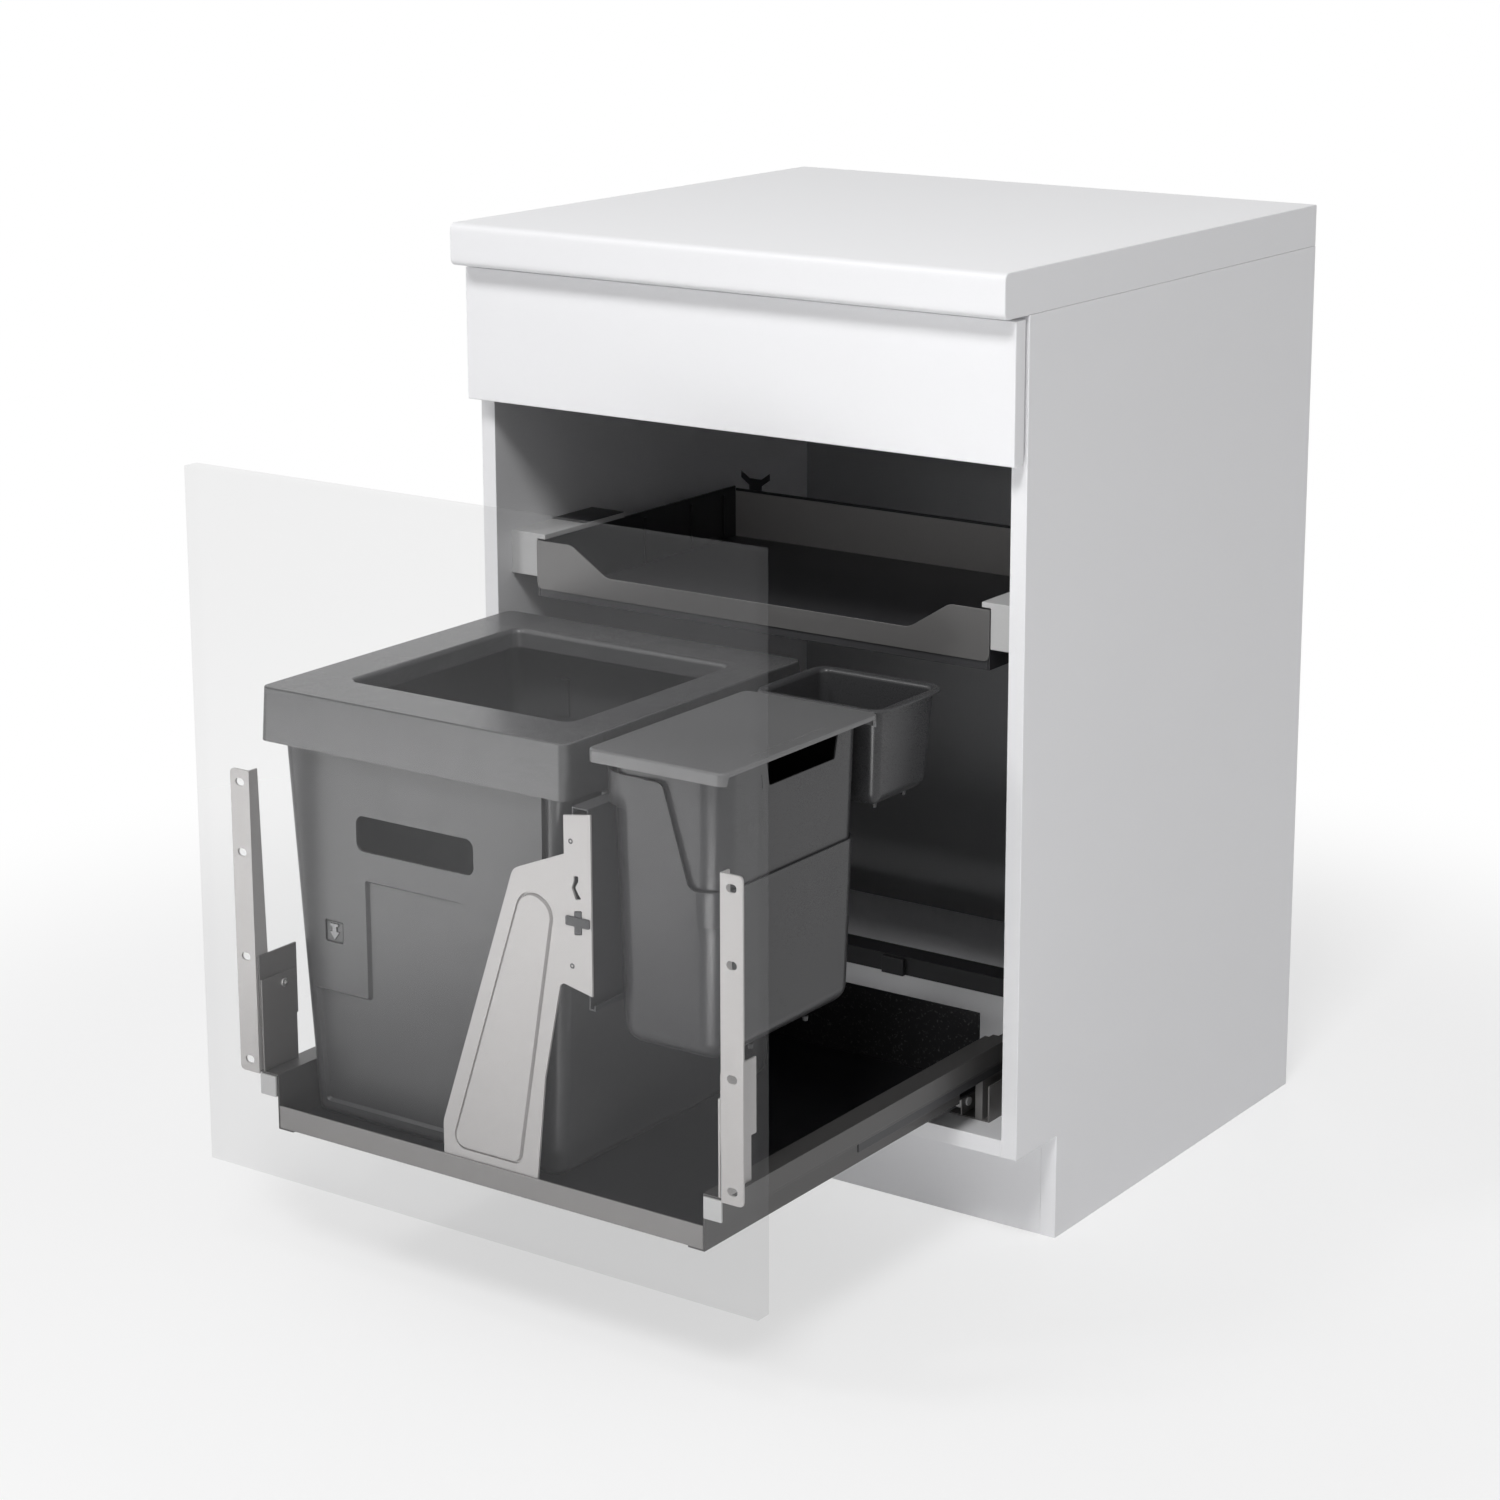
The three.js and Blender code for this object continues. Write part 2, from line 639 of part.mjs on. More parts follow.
// ---- door and its brackets ----
function buildDoor(group) {
  const doorBack = -frontGap;
  add(group, 'door', box([frontReveal, cabinetWidth - frontReveal],
    [doorBack - frontBoard, doorBack], [doorBottom, doorTop]), seeThroughFront);

  const right = innerRight - bracketInset;
  const left = right - bracketWidth;
  const bracketTop = bracketBottom + bracketHeight;
  const bracketBack = doorBack + bracketSheet;
  const strip = alongY(softOutline([
    [left, bracketBottom], [right, bracketBottom, bracketCorner],
    [right, bracketTop, bracketCorner], [left, bracketTop],
  ]), doorBack, bracketBack);
  const flange = alongX(outlineOf([
    [doorBack, channel.top + seat], [bracketBack + flangeBottomDepth, channel.top + seat],
    [bracketBack + flangeTopDepth, bracketTop], [doorBack, bracketTop],
  ]), left, left + bracketSheet);
  const holes = bracketHoles.map((height) => alongY(roundedRectangle(
    (left + right) / 2 - bracketHoleRadius - bracketHoleSlot / 2,
    (left + right) / 2 + bracketHoleRadius + bracketHoleSlot / 2,
    bracketBottom + height - bracketHoleRadius, bracketBottom + height + bracketHoleRadius,
    bracketHoleRadius - 0.01,
  ), doorBack - 1, bracketBack + 1));
  addPair(group, 'door_bracket', cut(joined(strip, flange), ...holes), paintedSteel);

  // the side plate hangs the bracket's flange on a post that stands on the channel
  const plateRight = left - seat;
  const plateLeft = plateRight - bracketSheet;
  const plateFront = bracketBack + seat;
  const plateZ = [sidePlateBottom, sidePlateBottom + sidePlateHeight];
  add(group, 'side_plate_right',
    box([plateLeft, plateRight], [plateFront, plateFront + sidePlateDepth], plateZ), paintedSteel);
  add(group, 'side_plate_left', mirrored(
    box([plateLeft, plateRight], [plateFront, plateFront + sidePlateDepth], plateZ)), darkSteel);
  const postRight = plateLeft - seat;
  const postLeft = postRight - bracketSheet;
  const postSolid = box([postLeft, postRight], [plateFront, plateFront + postDepth],
    [channel.top, sidePlateBottom + sidePlateHeight - postDepth / 2]);
  addPair(group, 'bracket_post', postSolid, paintedSteel);
  const screw = new THREE.CylinderGeometry(screwRadius, screwRadius, screwHead, 12)
    .rotateZ(Math.PI / 2)
    .translate(postLeft - seat - screwHead / 2, plateFront + screwSetback, sidePlateBottom + screwHeight);
  addPair(group, 'adjusting_screw', screw, lightPlastic);
}

// ---- the support in the middle and the beam that the small bins hang on ----
const supportFront = channelFront + sheet + seat;
const supportBack = supportFront + supportSheet;
const beamRight = supportRight - beamSetback;
const beamLeft = beamRight - beamWidth;

function buildSupport(group) {
  const foot = matTop + seat;
  const footRight = supportFoot + supportFootWidth;
  const outline = softOutline([
    [supportFoot, foot], [supportFoot, foot + supportFootRise, supportCorner],
    [...supportShoulder, supportCorner], [...supportNeck, 2], [supportNeck[0], supportTop],
    [supportRight, supportTop + supportTopRise], [supportRight, supportArmBottom],
    [...supportHip, 5], supportKnee, [footRight, foot],
  ]);
  const clipX = (supportNeck[0] + supportRight) / 2;
  const clipBand = box([clipX - clipWidth / 2, clipX + clipWidth / 2],
    [supportFront - 1, supportBack + 1],
    [clipHeight - clipThickness / 2 - seat, clipHeight + clipThickness / 2 + seat]);
  const clipCross = box([clipX - clipThickness / 2, clipX + clipThickness / 2],
    [supportFront - 1, supportBack + 1], [clipHeight - clipSlot / 2, clipHeight + clipSlot / 2]);
  const screwX = supportNeck[0] + 2 * supportScrewRadius + 2;
  const screwHoles = supportScrewHeights.map((height) =>
    new THREE.CylinderGeometry(supportScrewRadius + seat, supportScrewRadius + seat, 4 * supportSheet, 12)
      .translate(screwX, (supportFront + supportBack) / 2, height));
  add(group, 'bin_support',
    cut(alongY(outline, supportFront, supportBack), joined(clipBand, clipCross), ...screwHoles), paintedSteel);

  const inset = clipWidth / 2 - seat;
  const clipBar = box([clipX - inset, clipX + inset], [supportFront - 1.5, supportBack + seat],
    [clipHeight - clipThickness / 2, clipHeight + clipThickness / 2]);
  add(group, 'beam_clip', clipBar, darkSteel);
  supportScrewHeights.forEach((height, i) => {
    const shank = new THREE.CylinderGeometry(supportScrewRadius, supportScrewRadius, supportSheet + 0.6, 12)
      .translate(screwX, supportBack + seat - (supportSheet + 0.6) / 2, height);
    add(group, `support_screw_${['lower', 'upper'][i]}`, shank, darkSteel);
  });

  // the beam is one folded sheet: lip, top, web and a small curl at the bottom
  const beamBottom = beamTop - beamHeight;
  const profile = foldedSheet([
    [beamRight + beamCurl, beamBottom + beamCurl], [beamRight + beamCurl, beamBottom],
    [beamRight - sheet, beamBottom], [beamRight - sheet, beamTop - sheet],
    [beamLeft + sheet, beamTop - sheet], [beamLeft + sheet, beamTop - beamLip],
  ].reverse(), sheet);
  const beamFront = supportBack + seat;
  add(group, 'hanging_beam', alongY(profile, beamFront, beamFront + beamLength), darkSteel);
}

// ---- bins ----
function buildBigBin(group) {
  const taper = bigBinTaper;
  const left = cabinetWidth - channel.webInside + bigBinSideGap - taper.left;
  const x = [left, left + bigBinWidth];
  const y = [bigBinFront, bigBinFront + bigBinDepth];
  const bottom = matTop + seat;
  const body = tub({
    low: [x[0] + taper.left, x[1] - taper.right, y[0] + taper.front, y[1] - taper.back, bigBinCorner - 2],
    high: [...x, ...y, bigBinCorner],
    bottom,
    top: bigBinTop,
    foot: bigBinFoot,
    wall: bigBinWall,
  });
  const gripLeft = left + gripInset;
  const grip = alongY(
    roundedRectangle(gripLeft, gripLeft + gripWidth, gripBottom, gripBottom + gripHeight, gripCorner),
    y[0] - 1, y[0] + taper.front + 4 * bigBinWall);
  add(group, 'big_bin', cut(body, grip), greyPlastic);

  const outer = [x[0] - frameOverhang, x[1] + frameOverhang, y[0] - frameOverhang, y[1] + frameOverhang, frameCorner];
  const opening = [outer[0] + frameOpening.left, outer[1] - frameOpening.right,
    outer[2] + frameOpening.front, outer[3] - frameOpening.back, frameOpeningCorner];
  const underside = bigBinTop + seat;
  const top = underside + frameTopThickness;
  const skirtBottom = top - frameHeight;
  const flared = insetOutline(outer, -frameFlare);
  const frame = lofted([
    { z: underside - frameThroat, outline: insetOutline(opening, -frameWall) },
    { z: underside, outline: insetOutline(opening, -frameWall) },
    { z: underside, outline: insetOutline(outer, frameWall) },
    { z: skirtBottom, outline: insetOutline(flared, frameWall) },
    { z: skirtBottom, outline: flared },
    { z: top - 2, outline: outer },
    { z: top, outline: insetOutline(outer, 2) },
    { z: top, outline: insetOutline(opening, -2) },
    { z: top - 2, outline: opening },
    { z: underside - frameThroat, outline: opening },
  ]);
  add(group, 'bin_frame', closeRing(frame, 10), greyPlastic);
}

// Turns a capped loft into a ring: its two end caps go, and its last ring joins its first.
function closeRing(geometry, ringCount) {
  const count = 4 * (arcSteps + 1);
  const walls = Array.from(geometry.index.array).slice(0, 6 * count * (ringCount - 1));
  const last = (ringCount - 1) * count;
  for (let i = 0; i < count; i += 1) {
    const next = (i + 1) % count;
    walls.push(last + i, last + next, next, last + i, next, i);
  }
  geometry.setIndex(walls);
  return geometry;
}

const holderLeft = beamRight + sheet / 2;
const holderRight = holderLeft + holderWidth;
const holderBack = holderFront + holderDepth;
const holderOutline = {
  high: [holderLeft, holderRight, holderFront, holderBack, holderCorner],
  low: [holderLeft + holderTaper, holderRight - holderTaper,
    holderFront + holderTaperEnds, holderBack - holderTaperEnds, holderCorner - 2],
};

// A lip over the beam: from a bin's wall across the beam and down behind its edge.
function hookOver(wallX, y0, y1) {
  const top = beamTop + seat;
  const outside = beamLeft - hookReach;
  return alongY(foldedSheet([
    [wallX, top + hookWall], [outside, top + hookWall], [outside, beamTop - hookDrop],
  ], hookWall), y0, y1);
}

function buildSmallBins(group) {
  const shoulderLeft = holderLeft - holderShoulder;
  const shell = tub({
    ...holderOutline,
    bottom: holderBottom,
    top: holderTop,
    foot: holderFoot,
    wall: smallWall,
    shoulder: { z: beamTop + seat, left: shoulderLeft },
  });
  const farRight = holderRight + 10;
  const openSide = alongY(softOutline([
    [holderLeft + highEdgeInset, holderTop + 10], [holderLeft + highEdgeInset, holderTop - 8, 6],
    [holderLeft + lowEdgeInset, lowEdge, 12], [farRight, lowEdge], [farRight, holderTop + 10],
  ]), holderFront - 10, holderBack + 10);
  const hook = hookOver(shoulderLeft + smallWall / 2, holderFront + holderCorner, holderBack - holderCorner);
  add(group, 'small_bin_holder', joined(cut(shell, openSide), hook), greyPlastic);

  const fit = smallWall + bucketGap;
  const rise = (z) => (z - holderBottom) / (holderTop - holderBottom);
  const at = (z) => insetOutline(blendOutline(holderOutline.low, holderOutline.high, rise(z)), fit);
  const bucketBottom = holderBottom + smallWall + seat;
  const bucket = tub({
    low: at(bucketBottom),
    high: at(bucketTop),
    bottom: bucketBottom,
    top: bucketTop,
    foot: holderFoot - smallWall,
    wall: smallWall,
    rim: bucketRim,
    rimHeight: bucketRimHeight,
  });
  const gripY = holderFront + bucketGripSetback;
  const grip = box([holderRight - 15, holderRight + 15], [gripY, gripY + bucketGripWidth],
    [bucketGripBottom, bucketGripBottom + bucketGripHeight]);
  add(group, 'small_bucket', cut(bucket, grip), greyPlastic);

  // the lid rests on the bucket's rim, with its skirt around it
  const rimOutline = insetOutline(at(bucketTop), -bucketRim);
  const lidOutline = insetOutline([...rimOutline.slice(0, 4), lidCorner - lidOverhang], -lidOverhang);
  lidOutline[3] = rimOutline[3] + lidBackGap + lidThickness;
  const underside = bucketTop + seat;
  const lid = lofted([
    { z: underside, outline: insetOutline(lidOutline, lidThickness) },
    { z: underside + lidThickness - lidSkirt, outline: insetOutline(lidOutline, lidThickness) },
    { z: underside + lidThickness - lidSkirt, outline: lidOutline },
    { z: underside + lidThickness - 1, outline: lidOutline },
    { z: underside + lidThickness, outline: insetOutline(lidOutline, 1) },
  ]);
  add(group, 'small_bin_lid', lid, greyPlastic);

  const caddyFront = lidOutline[3] + caddyGap + caddyRim;
  const high = [holderLeft, holderRight, caddyFront, caddyFront + caddyDepth, caddyCorner];
  const bottom = caddyTop - caddyHeight;
  const caddy = tub({
    low: insetOutline(high, caddyTaper),
    high,
    bottom,
    top: caddyTop,
    foot: holderFoot,
    wall: smallWall,
    rim: caddyRim,
    rimHeight: caddyRimHeight,
  });
  const caddyHook = hookOver(holderLeft + caddyTaper / 2 + smallWall / 2, caddyFront + caddyCorner,
    caddyFront + caddyDepth - caddyCorner);
  add(group, 'caddy', joined(caddy, caddyHook), greyPlastic);
}

// ---- cover shelf: it stays in the cabinet and covers the bins when they are pushed in ----
function buildShelf(group) {
  const right = innerRight - shelfInset;
  const left = cabinetWidth - right;
  const wingEnd = left + shelfWing;
  const lowStart = wingEnd + shelfSlope;
  const panel = softOutline([
    [left, shelfPanelBottom, shelfPanelCorner], [right, shelfPanelBottom, shelfPanelCorner],
    [right, shelfWingTop], [cabinetWidth - wingEnd, shelfWingTop, 5],
    [cabinetWidth - lowStart, shelfLowEdge, 6], [lowStart, shelfLowEdge, 6],
    [wingEnd, shelfWingTop, 5], [left, shelfWingTop],
  ]);
  add(group, 'shelf_front', alongY(panel, shelfFront, shelfFront + shelfSheet), paintedSteel);

  const back = shelfFront + shelfDepth;
  const lipFront = shelfFront + shelfSheet + seat;
  const innerSpan = [left + shelfSideWall + seat, right - shelfSideWall - seat];
  const base = foldedSheet([
    [lipFront, shelfLowEdge - 5], [lipFront, shelfBottom], [back - shelfSheet - seat, shelfBottom],
  ], shelfSheet);
  add(group, 'shelf_base', alongX(base, ...innerSpan), darkSteel);
  add(group, 'shelf_rear', box([left, right], [back - shelfSheet, back], [shelfBottom, shelfRearTop]), paintedSteel);
  add(group, 'shelf_rear_trim', box(innerSpan, [back - (shelfSheet + trimDepth) / 2, back + (trimDepth - shelfSheet) / 2],
    [shelfRearTop, shelfRearTop + trimHeight]), blackPlastic);

  // the side wall carries upright pegs that hold dividers
  const sideFront = lipFront;
  const sideBack = back - shelfSheet - seat;
  const wall = box([right - shelfSideWall, right], [sideFront, sideBack], [shelfBottom, shelfSideTop]);
  const pegs = pegSetbacks.map((setback) => box([right - shelfSideWall - pegReach, right - shelfSideWall / 2],
    [shelfFront + setback, shelfFront + setback + pegDepth],
    [shelfBottom + shelfSheet + seat, shelfSideTop - 6]));
  addPair(group, 'shelf_side', joined(wall, ...pegs), blackPlastic);

  // each bracket is a hollow cover screwed to the side panel, open towards the back
  const bracketLeft = right + seat;
  const bracketTop = shelfBracketBottom + shelfBracketHeight;
  const front = shelfFront + shelfSheet + seat;
  const block = box([bracketLeft, innerRight], [front, front + shelfBracketLength], [shelfBracketBottom, bracketTop]);
  const cover = box([right - shelfBracketCover, innerRight], [front, front + shelfBracketLength],
    [bracketTop - shelfBracketCoverThickness, bracketTop]);
  const hollow = box([bracketLeft + shelfBracketWall, innerRight - shelfBracketWall],
    [front + shelfBracketWall, front + shelfBracketLength + 1],
    [shelfBracketBottom + shelfBracketWall, bracketTop - shelfBracketWall]);
  addPair(group, 'shelf_bracket', cut(joined(block, cover), hollow), lightPlastic);

  const hookRight = right - hookPlateInset;
  const hookLeft = hookRight - hookPlateWidth;
  const stemLeft = (hookLeft + hookRight - hookPlateStem) / 2;
  const stemRight = stemLeft + hookPlateStem;
  const hookPlate = outlineOf([
    [stemLeft, hookPlateTop - hookPlateHeight], [stemRight, hookPlateTop - hookPlateHeight],
    [stemRight, hookPlateTop - 2 * hookPlateArm], [hookRight, hookPlateTop - hookPlateArm],
    [hookRight, hookPlateTop], [stemRight, hookPlateTop - hookPlateArm],
    [stemLeft, hookPlateTop - hookPlateArm], [hookLeft, hookPlateTop],
    [hookLeft, hookPlateTop - hookPlateArm], [stemLeft, hookPlateTop - 2 * hookPlateArm],
  ]);
  const hookFront = back + (trimDepth - shelfSheet) / 2 + seat;
  addPair(group, 'shelf_rear_hook', alongY(hookPlate, hookFront, hookFront + shelfSheet), blackPlastic);
}

// ---- the whole object ----
const cabinet = new THREE.Group();
buildCabinet(cabinet);
buildFloorRails(cabinet);
buildShelf(cabinet);

const stage = new THREE.Group();
buildStage(stage);
stage.position.y = -pulledOut / 2;
cabinet.add(stage);

const pullOut = new THREE.Group();
buildChannels(pullOut);
buildTray(pullOut);
buildDoor(pullOut);
buildSupport(pullOut);
buildBigBin(pullOut);
buildSmallBins(pullOut);
pullOut.position.y = -pulledOut;
cabinet.add(pullOut);

const farthestFront = -pulledOut - frontGap - frontBoard;
cabinet.position.set(-cabinetWidth / 2, -(farthestFront + bodyDepth) / 2, 0);

export default cabinet;
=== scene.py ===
import json
import math
import bmesh
import bpy
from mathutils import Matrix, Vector


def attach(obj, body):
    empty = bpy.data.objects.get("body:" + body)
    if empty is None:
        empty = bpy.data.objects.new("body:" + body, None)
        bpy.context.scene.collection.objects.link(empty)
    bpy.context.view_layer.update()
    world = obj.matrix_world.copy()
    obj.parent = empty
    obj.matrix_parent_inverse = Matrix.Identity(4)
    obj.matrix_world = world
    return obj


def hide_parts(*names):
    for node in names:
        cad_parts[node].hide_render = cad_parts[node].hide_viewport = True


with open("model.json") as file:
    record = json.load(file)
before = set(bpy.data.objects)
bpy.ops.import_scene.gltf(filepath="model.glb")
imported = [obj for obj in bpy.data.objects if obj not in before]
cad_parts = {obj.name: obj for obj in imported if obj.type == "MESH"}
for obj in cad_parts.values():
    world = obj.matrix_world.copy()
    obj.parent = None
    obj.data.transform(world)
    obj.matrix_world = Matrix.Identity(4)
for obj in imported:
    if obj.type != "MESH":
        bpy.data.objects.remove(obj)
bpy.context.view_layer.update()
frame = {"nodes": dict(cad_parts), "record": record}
mm = 0.001
scene = bpy.context.scene


photoView = {
    "place": (1.770703, -2.571506, 1.301263),
    "turn": 34.576,         # degrees from straight in front, towards the right
    "down": 13.333,         # degrees below level
    "lens": 83.078,
    "sensor": 36,           # millimetres, like the lens
    "shift": (-0.022, -0.1),
    "nearest": 0.05, "furthest": 60,
}


def makeCamera(view):
    lens = bpy.data.cameras.new("photoCamera")
    lens.sensor_width = view["sensor"]
    lens.lens = view["lens"]
    lens.shift_x, lens.shift_y = view["shift"]
    lens.clip_start = view["nearest"]
    lens.clip_end = view["furthest"]
    camera = bpy.data.objects.new("photoCamera", lens)
    camera.location = view["place"]
    camera.rotation_euler = (math.radians(90 - view["down"]), 0, math.radians(view["turn"]))
    scene.collection.objects.link(camera)
    scene.camera = camera


studio = {
    "floorSize": 30,
    "floorColour": (0.93, 0.93, 0.935, 1),
    "floorRough": 0.9, "floorGloss": 0.1,
    "shadowReach": (0.75, 1.5),     # metres from the middle where the floor fades to plain white
    "nearWhite": 0.6,               # share of plain white in the floor close to the object
    "plainWhite": (1, 1, 1, 1),
    "worldStrength": 0.32,          # of the white world as a light
    "plainStrength": 1,             # of the white world as it is seen
    "lamps": [
        # name, place, looks at, width, height, watts, spread in degrees
        ("rightLamp", (1.14, -2.55, 3.67), (0, -0.1, 0.45), 0.9, 0.9, 76, 180),
        ("leftLamp", (-1.57, -2.43, 3.57), (0, -0.1, 0.45), 0.7, 0.7, 31.5, 180),
        # behind the object, and low
        ("backLamp", (-1.5, 3.2, 0.5), (0, 0.3, 0.45), 1.4, 0.8, 30, 180),
        # two low ones, for the gloss of the fronts and of the upright corners
        ("sheenLamp", (-0.5, -1.05, 0.24), (0.08, -0.43, 0.45), 0.75, 0.4, 0.5, 70),
        ("cornerLamp", (0.53, -1.17, 0.06), (0.2, -0.42, 0.4), 0.5, 0.09, 0.6, 75),
    ],
}


def makeLamp(name, place, target, width, height, watts, spread):
    lamp = bpy.data.lights.new(name, "AREA")
    lamp.shape = "RECTANGLE"
    lamp.size, lamp.size_y = width, height
    lamp.energy = watts
    lamp.spread = math.radians(spread)
    holder = bpy.data.objects.new(name, lamp)
    holder.location = place
    holder.visible_camera = False
    aim = Vector(target) - Vector(place)
    holder.rotation_euler = aim.to_track_quat("-Z", "Y").to_euler()
    scene.collection.objects.link(holder)


def seenByCamera(tree):
    # 1 for camera, mirror and see-through rays, 0 for the rays that light the object
    path = tree.nodes.new("ShaderNodeLightPath")
    first = tree.nodes.new("ShaderNodeMath")
    first.operation = "MAXIMUM"
    second = tree.nodes.new("ShaderNodeMath")
    second.operation = "MAXIMUM"
    tree.links.new(path.outputs["Is Camera Ray"], first.inputs[0])
    tree.links.new(path.outputs["Is Glossy Ray"], first.inputs[1])
    tree.links.new(first.outputs[0], second.inputs[0])
    tree.links.new(path.outputs["Is Transmission Ray"], second.inputs[1])
    return second.outputs[0]


def makeStudio(look):
    world = bpy.data.worlds.new("studioWorld")
    scene.world = world
    world.use_nodes = True
    tree = world.node_tree
    tree.nodes.clear()
    output = tree.nodes.new("ShaderNodeOutputWorld")
    mix = tree.nodes.new("ShaderNodeMixShader")
    soft = tree.nodes.new("ShaderNodeBackground")
    plain = tree.nodes.new("ShaderNodeBackground")
    soft.inputs["Color"].default_value = look["plainWhite"]
    soft.inputs["Strength"].default_value = look["worldStrength"]
    plain.inputs["Color"].default_value = look["plainWhite"]
    plain.inputs["Strength"].default_value = look["plainStrength"]
    tree.links.new(seenByCamera(tree), mix.inputs["Fac"])
    tree.links.new(soft.outputs[0], mix.inputs[1])
    tree.links.new(plain.outputs[0], mix.inputs[2])
    tree.links.new(mix.outputs[0], output.inputs["Surface"])

    form = bmesh.new()
    bmesh.ops.create_grid(form, x_segments=1, y_segments=1, size=look["floorSize"] / 2)
    mesh = bpy.data.meshes.new("floor")
    form.to_mesh(mesh)
    form.free()
    floor = bpy.data.objects.new("floor", mesh)
    scene.collection.objects.link(floor)
    paint = bpy.data.materials.new("floorPaint")
    paint.use_nodes = True
    tree = paint.node_tree
    base = tree.nodes["Principled BSDF"]
    base.inputs["Base Color"].default_value = look["floorColour"]
    base.inputs["Roughness"].default_value = look["floorRough"]
    base.inputs["Specular IOR Level"].default_value = look["floorGloss"]
    place = tree.nodes.new("ShaderNodeTexCoord")
    reach = tree.nodes.new("ShaderNodeVectorMath")
    reach.operation = "LENGTH"
    fade = tree.nodes.new("ShaderNodeMapRange")
    fade.interpolation_type = "SMOOTHSTEP"
    fade.inputs["From Min"].default_value = look["shadowReach"][0]
    fade.inputs["From Max"].default_value = look["shadowReach"][1]
    fade.inputs["To Min"].default_value = look["nearWhite"]
    gate = tree.nodes.new("ShaderNodeMath")
    gate.operation = "MULTIPLY"
    glow = tree.nodes.new("ShaderNodeEmission")
    mix = tree.nodes.new("ShaderNodeMixShader")
    tree.links.new(place.outputs["Object"], reach.inputs[0])
    tree.links.new(reach.outputs["Value"], fade.inputs["Value"])
    tree.links.new(fade.outputs["Result"], gate.inputs[0])
    tree.links.new(seenByCamera(tree), gate.inputs[1])
    tree.links.new(gate.outputs[0], mix.inputs["Fac"])
    tree.links.new(base.outputs[0], mix.inputs[1])
    tree.links.new(glow.outputs[0], mix.inputs[2])
    tree.links.new(mix.outputs[0], tree.nodes["Material Output"].inputs["Surface"])
    mesh.materials.append(paint)

    for lamp in look["lamps"]:
        makeLamp(*lamp)
    scene.view_settings.view_transform = "Standard"


makeCamera(photoView)
makeStudio(studio)
print("camera, floor and light are ready")


